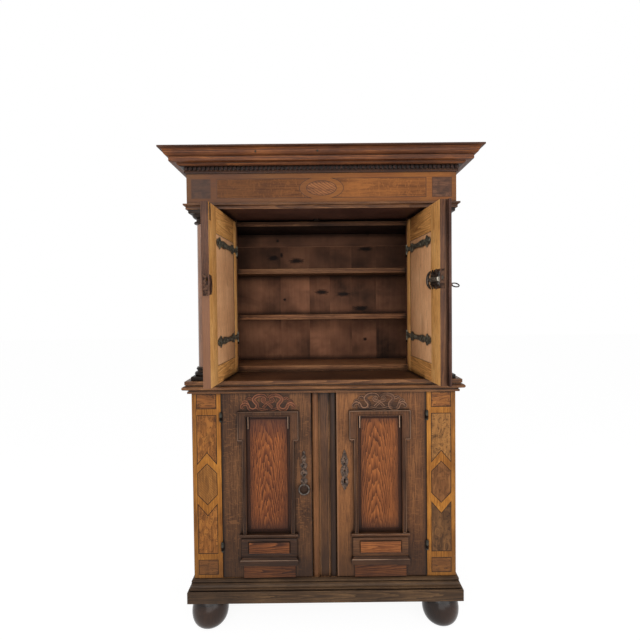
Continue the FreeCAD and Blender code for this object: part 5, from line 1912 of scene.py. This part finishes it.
@dataclass
class UpperDoorIron:
    """The straps, plates and strike of one upper door."""

    side: Side
    turn: float
    opening: float = 396.996
    hinge_y: float = 214.0
    door_end: float = 395.996
    strap_levels: Pair = (1221.0, 1618.0)
    strap_nails: Pairs = ((30, 0), (112, 0), (150, 0), (238, 0))
    barrel_radius: float = 5.5
    barrel_length: float = 46.0
    barrel_wall: float = 2.4
    barrel_sides: int = 28
    barrel_ease: Pair = (0.0006, 50)
    bore_slack: float = 0.3
    end_facing: float = 0.9
    case_width: float = 62.0
    case_depth: float = 18.0
    case_ease: float = 0.0015
    lock_nails: Pairs = ((322, 20), (322, -20), (384, 20), (384, -20))
    crescent: tuple[Triple, ...] = (
        (302, 33, 0.4), (284, 27, 0.8), (272, 12, 1.1), (270, -4, 1.2), (276, -22, 0.9), (300, -34, 0.4),
    )
    crescent_layers: Pairs = ((-2.0, 1.0), (-3.2, 0.7))
    crescent_radius: float = 5.5
    housing: tuple[float, ...] = (312, 330, 345, 360, 375, 393)
    housing_place: Pair = (-4.0, -1.0)
    housing_radius: float = 9.5
    rail: tuple[float, ...] = (314, 330, 345, 360, 375, 392)
    rail_place: Pair = (-5.0, -17.0)
    rail_radius: float = 3.5
    strike_nails: Pairs = ((378, 24), (378, -24))
    strike_nail_radius: float = 3.0

    def leaf(self, z: float) -> Matrix:
        """Return the move from a closed drawing of the door to where it stands.

        x runs along the door from the hinge axis, and y runs out of the inner face on the
        left door and into it on the right one.
        """
        angle = math.radians(self.turn)
        along = Vector((-self.side.value * math.cos(angle), -math.sin(angle), 0))
        across = Vector((0, 0, 1)).cross(along)
        spot = at(self.side.value * self.opening, self.hinge_y, z)
        move = Matrix((along, across, Vector((0, 0, 1)))).transposed().to_4x4()
        return Matrix.Translation(spot) @ move

    def straps(self) -> None:
        """Make the two straps with their barrels and nails."""
        node = f"upper_{self.side.label}_straps"
        inner = -self.side.value
        parts = []
        for z in self.strap_levels:
            pieces = [STRAP.build(inner), *STRAP.nails(self.strap_nails, inner), self.barrel()]
            whole = Bench.join("strap", pieces)
            Bench.carry(whole, self.leaf(z))
            parts.append(whole)
        Bench.stand_in(Bench.join(f"{node}_forged", parts), STRAP_IRON, node)

    def barrel(self) -> Piece:
        """Return a strap's rolled eye, on the hinge axis."""
        Bench.clear()
        bpy.ops.mesh.primitive_cylinder_add(
            vertices=self.barrel_sides, radius=self.barrel_radius / MM, depth=self.barrel_length / MM,
            end_fill_type="NGON",
        )
        piece = bpy.context.object
        Bench.pick(piece, Pick.FACE, lambda face: abs(face.normal.z) > self.end_facing)
        bpy.ops.mesh.inset(thickness=self.barrel_wall / MM)
        bpy.ops.mesh.delete(type="FACE")
        bore = (self.barrel_radius - self.barrel_wall + self.bore_slack) / MM
        Bench.pick(
            piece, Pick.EDGE, lambda edge: all(vertex.co.xy.length < bore for vertex in edge.verts),
        )
        bpy.ops.mesh.bridge_edge_loops()
        Bench.right_way_out(piece)
        Bench.soften(piece, *self.barrel_ease)
        return piece

    def lock(self) -> None:
        """Make the lock: the case in the stile, its spiked plate, crescent and bolt housing."""
        node = "upper_lock_case"
        low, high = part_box(node)
        reach = (high.z - low.z) / 2
        rise = Vector((0, 0, reach))
        corner = Vector((self.door_end - self.case_width, 0, 0)) / MM - rise
        case = Bench.block("case", corner, Vector((self.door_end, self.case_depth, 0)) / MM + rise)
        Bench.soften(case, self.case_ease)
        case.data.materials.append(RUSTY_IRON.material())
        parts = [case, LOCK_PLATE.build(-1), *LOCK_PLATE.nails(self.lock_nails, -1)]
        for depth, size in self.crescent_layers:
            line = [(Vector((along, depth, up)) / MM, share * size) for along, up, share in self.crescent]
            parts.append(Bench.rod("crescent", line, self.crescent_radius / MM))
        for name, stations, place, radius in (
            ("bolt_housing", self.housing, self.housing_place, self.housing_radius),
            ("lower_rail", self.rail, self.rail_place, self.rail_radius),
        ):
            line = [(Vector((along, *place)) / MM, 1.0) for along in stations]
            parts.append(Bench.rod(name, line, radius / MM))
        for part in parts[1:]:
            # The bolt housing in brighter iron, partly a painted highlight.
            iron = BOLT_IRON_AND_HIGHLIGHT if part.name.startswith("bolt_housing") else LOCK_IRON
            part.data.materials.append(iron.material())
        whole = Bench.join("upper_lock_forged", parts)
        Bench.carry(whole, self.leaf((low.z + high.z) / 2 * MM))
        Bench.stand_in(whole, None, node)

    def strike(self) -> None:
        """Make the part of the strike that laps over the inner side of the door."""
        node = "upper_left_strike"
        low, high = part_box(node)
        nails = STRIKE_LAP.nails(self.strike_nails, 1, self.strike_nail_radius)
        parts = [STRIKE_LAP.build(1), *nails]
        whole = Bench.join("upper_left_strike_lap", parts)
        Bench.carry(whole, self.leaf((low.z + high.z) / 2 * MM))
        Bench.finish(whole, RUSTY_IRON, BODY_OF[node], SLOT_OF[node])

    def build(self) -> None:
        """Make the iron of this door."""
        self.straps()
        if self.side is Side.RIGHT:
            self.lock()
        else:
            self.strike()


@dataclass(frozen=True)
class Braid:
    """Two scrolls that cross each other along a plate, in millimetres of its own plane."""

    low: float
    high: float
    half: float
    turns: int
    depth: float = -3.6
    radius: float = 2.4
    weave: float = 0.4
    inner_share: float = 0.8
    end_share: float = 0.6

    def build(self) -> list[Piece]:
        """Return the two scrolls."""
        scrolls = []
        for way in (-1, 1):
            line = []
            for step in range(self.turns + 1):
                inside = 0 < step < self.turns
                side = way * self.half * (-1) ** step if inside else 0.0
                along = self.low + (self.high - self.low) * step / self.turns
                spot = Vector((along, self.depth - self.weave * way, side)) / MM
                line.append((spot, self.inner_share if inside else self.end_share))
            scrolls.append(Bench.rod("scroll", line, self.radius / MM))
        return scrolls


@dataclass
class LowerDoorIron:
    """The ring pull's plate, the keyhole plate and the hinge finials of the lower doors."""

    place: float = 85.0
    hinge_x: float = 428.75
    hinge_y: float = -6.0
    hinge_levels: Pair = (355.6, 902.6)
    reach: float = 13.0
    pull_level: float = 616.0
    pull_braid: Braid = Braid(14, 128, 11, 8)
    pull_nails: Pairs = ((28, 0), (64, 0), (96, 0))
    pull_nail_radius: float = 3.0
    eye_level: float = 618.6
    eye_depth: float = -10.0
    eye_radii: Pair = (5.8, 1.8)
    eye_segments: tuple[int, int] = (24, 10)
    eye_cut: float = -4.6
    stem_depth: float = -1.2
    stem: Pairs = (
        (0.0062, 0.0), (0.0066, 0.0008), (0.0066, 0.0020), (0.0040, 0.0030), (0.0034, 0.0042),
    )
    keyhole_level: float = 589.6
    keyhole_braids: tuple[Braid, ...] = (Braid(52, 164, 11, 7), Braid(2, 26, 7, 3, -3.4, 2.0))
    keyhole_nails: Pairs = ((54, 0), (96, 0))
    keyhole_nail_radius: float = 2.8
    finial: Pairs = (
        (0.0050, -0.0002), (0.0062, 0.0004), (0.0062, 0.0016), (0.0036, 0.0022), (0.0046, 0.0034),
        (0.0054, 0.0050), (0.0046, 0.0066), (0.0028, 0.0077), (0.0012, 0.0081),
    )
    sides: int = 16

    def upright(self, x: float, z: float) -> Matrix:
        """Return the move from a plate's own plane to the door's front, with its length upright."""
        turn = Matrix.Rotation(math.radians(-90), 4, "Y")
        return Matrix.Translation(at(x, 0, z)) @ turn

    def pull(self) -> None:
        """Make the pull's pierced plate, and the eye that the ring hangs in."""
        parts = [PULL_PLATE.build(-1), *self.pull_braid.build()]
        parts += PULL_PLATE.nails(self.pull_nails, -1, self.pull_nail_radius)
        whole = Bench.join("pull_plate_forged", parts)
        Bench.carry(whole, self.upright(-self.place, self.pull_level))
        Bench.clear()
        wide, thick = self.eye_radii
        round_it, round_wire = self.eye_segments
        bpy.ops.mesh.primitive_torus_add(
            location=at(-self.place, self.eye_depth, self.eye_level), rotation=(0, math.pi / 2, 0),
            major_segments=round_it, minor_segments=round_wire, major_radius=wide / MM,
            minor_radius=thick / MM,
        )
        eye = bpy.context.object
        Bench.settle(eye)
        Bench.pick_all(eye)
        cut = at(0, self.eye_cut, 0)
        bpy.ops.mesh.bisect(plane_co=cut, plane_no=(0, 1, 0), use_fill=True, clear_outer=True)
        Bench.clear()
        stem = Bench.turned("stem", self.stem, self.sides)
        forward = Matrix.Rotation(math.radians(90), 4, "X")
        Bench.carry(stem, Matrix.Translation(at(-self.place, self.stem_depth, self.eye_level)) @ forward)
        Bench.stand_in(Bench.join("pull_plate_forged", [whole, eye, stem]), PLATE_IRON, "pull_plate")

    def keyhole(self) -> None:
        """Make the leaf-shaped keyhole plate."""
        parts = [KEYHOLE_PLATE.build(-1)]
        for braid in self.keyhole_braids:
            parts += braid.build()
        parts += KEYHOLE_PLATE.nails(self.keyhole_nails, -1, self.keyhole_nail_radius)
        whole = Bench.join("keyhole_plate_forged", parts)
        Bench.carry(whole, self.upright(self.place, self.keyhole_level))
        Bench.stand_in(whole, PLATE_IRON, "keyhole_plate")

    def finials(self) -> None:
        """Make the turned finials at the ends of the lower hinges' barrels."""
        for side in Side:
            for way, body in ((-1, "cabinet"), (1, f"lower_{side.label}_door")):
                knobs = []
                for z in self.hinge_levels:
                    knob = Bench.turned("knob", self.finial, self.sides)
                    turn = Matrix.Rotation(0.0 if way > 0 else math.pi, 4, "X")
                    spot = at(side.value * self.hinge_x, self.hinge_y, z + way * self.reach)
                    Bench.carry(knob, Matrix.Translation(spot) @ turn)
                    knobs.append(knob)
                place = "lower" if way < 0 else "upper"
                whole = Bench.join(f"lower_{side.label}_hinge_{place}_finials", knobs)
                Bench.finish(whole, IRON, body, "wrought_iron")

    def build(self) -> None:
        """Make the iron of the lower doors."""
        self.pull()
        self.keyhole()
        self.finials()


@dataclass
class PlainIron:
    """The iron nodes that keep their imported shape."""

    nodes: tuple[str, ...] = (
        "upper_left_bolt", "upper_lock_bolt", "lower_left_hinges", "lower_right_hinges", "lower_lock_case",
        "lower_lock_bolt",
    )

    def build(self) -> None:
        """Give each node its iron."""
        for node in self.nodes:
            self.dress(node, IRON)
        self.dress("pull_ring", RING_IRON)
        self.dress("upper_key", LOCK_IRON)
        self.dress("upper_left_strike", RUSTY_IRON)
        # The keeper in iron darkened as painted shade.
        self.dress("case_ironwork", SHADED_IRON)

    @staticmethod
    def dress(node: str, iron: Iron) -> None:
        """Give one node its material."""
        slots = frame["nodes"][node].material_slots
        for slot in slots:
            slot.material = iron.material()
        LOG.info("%s keeps its shape", node)


@dataclass
class CorniceNails:
    """The two iron nail heads in the cornice's hollow."""

    places: Pairs = ((-259.0, 1972.0), (-15.0, 1973.0))
    depth: float = -76.0
    radius: float = 4.5

    def build(self) -> None:
        """Make the nails."""
        forward = Vector((0, -1, 0))
        nails = [Bench.nail(at(x, self.depth, z), forward, self.radius / MM) for x, z in self.places]
        Bench.finish(Bench.join("cornice_nails", nails), IRON, "cabinet", "wrought_iron")


@dataclass
class Studio:
    """The floor, the lights and the camera of the photograph."""

    eye: Triple = (-14.93, -1676.87, 1369.08)
    yaw: float = 0.125
    pitch: float = 1.245
    roll: float = -0.577
    lens: float = 22.727
    shift: float = -0.01106
    sensor: float = 36.0
    sight: float = 60.0
    ambient: float = 0.55
    floor_size: float = 30.0
    floor_colour: Colour = (0.9, 0.9, 0.9, 1.0)
    floor_glow: float = 1.12
    floor_share: float = 0.82
    white: Colour = (1.0, 1.0, 1.0, 1.0)
    target: Triple = (0.0, 0.0, 1.0)
    lamps: tuple[tuple[str, Triple, float, float], ...] = (
        ("key", (-1.6, -3.4, 2.9), 2.2, 46.0), ("fill", (2.4, -3.0, 1.7), 2.4, 42.0),
        ("front", (0.0, -4.4, 1.5), 3.0, 50.0),
    )

    def camera(self) -> None:
        """Make the camera."""
        yaw, pitch, roll = (math.radians(angle) for angle in (self.yaw, self.pitch, self.roll))
        ahead = Vector((math.sin(yaw) * math.cos(pitch), math.cos(yaw) * math.cos(pitch), -math.sin(pitch)))
        right = Vector((math.cos(yaw), -math.sin(yaw), 0))
        up = right.cross(ahead)
        across = right * math.cos(roll) + up * math.sin(roll)
        rise = up * math.cos(roll) - right * math.sin(roll)
        data = bpy.data.cameras.new("camera")
        data.sensor_width = self.sensor
        data.lens = self.lens
        data.shift_y = self.shift
        data.clip_end = self.sight
        camera = bpy.data.objects.new("camera", data)
        turn = Matrix((across, rise, -ahead)).transposed().to_4x4()
        camera.matrix_world = Matrix.Translation(at(*self.eye)) @ turn
        bpy.context.scene.collection.objects.link(camera)
        bpy.context.scene.camera = camera

    def lamp(self, name: str, place: Sequence[float], size: float, power: float) -> None:
        """Add a soft lamp that faces the cupboard's middle.

        Args:
            name: Its name.
            place: Where it stands, in metres.
            size: Its width.
            power: Its power in watts.
        """
        data = bpy.data.lights.new(name, "AREA")
        data.size = size
        data.energy = power
        lamp = bpy.data.objects.new(name, data)
        spot = Vector(place)
        facing = (Vector(self.target) - spot).to_track_quat("-Z", "Y").to_matrix().to_4x4()
        lamp.matrix_world = Matrix.Translation(spot) @ facing
        bpy.context.scene.collection.objects.link(lamp)

    @staticmethod
    def seen(shader: Shader) -> Signal:
        """Return 1 for what the camera sees directly, in metal or through glass."""
        names = ("Is Camera Ray", "Is Glossy Ray", "Is Transmission Ray")
        camera, glossy, through = (shader.node("LightPath", None, None, name) for name in names)
        return camera.most(glossy).most(through)

    def floor(self) -> None:
        """Make the pale floor."""
        Bench.clear()
        bpy.ops.mesh.primitive_plane_add(size=self.floor_size)
        floor = bpy.context.object
        floor.name = "floor"
        shader = Shader(bpy.data.materials.new("pale_floor"))
        pale = shader.node("BsdfDiffuse", None, {"Color": self.floor_colour})
        glow = {"Color": self.white, "Strength": self.floor_glow}
        white = shader.node("Emission", None, glow)
        share = self.seen(shader) * self.floor_share
        mixed = shader.node("MixShader", None, {0: share, 1: pale, 2: white})
        shader.show(mixed)
        floor.data.materials.append(shader.owner)

    def world(self) -> None:
        """Make the white surroundings."""
        world = bpy.data.worlds.new("studio")
        bpy.context.scene.world = world
        shader = Shader(world)
        dim = shader.node("Background", None, {"Strength": self.ambient})
        white = shader.node("Background", None, {"Color": self.white, "Strength": 1.0})
        mixed = shader.node("MixShader", None, {0: self.seen(shader), 1: dim, 2: white})
        shader.show(mixed)

    def build(self) -> None:
        """Make the studio."""
        self.camera()
        self.floor()
        self.world()
        for name, place, size, power in self.lamps:
            self.lamp(name, place, size, power)
        bpy.context.scene.view_settings.view_transform = "Standard"


def main() -> None:
    """Build and dress the cupboard."""
    logging.basicConfig(level=logging.INFO, format="%(message)s")
    Studio().build()
    Carcass().build()
    Marquetry().build()
    DoorOrnament(Side.LEFT, RELIEF_OAK, CREST_OAK, PANEL_OAK).build()
    DoorOrnament(Side.RIGHT, RIGHT_RELIEF_OAK, DARK_CREST_OAK, RIGHT_PANEL_OAK).build()
    UpperDoorIron(Side.LEFT, LEFT_TURN).build()
    UpperDoorIron(Side.RIGHT, RIGHT_TURN).build()
    LowerDoorIron().build()
    CorniceNails().build()
    PlainIron().build()
    Bench.clear()


if __name__ == "__main__":
    main()
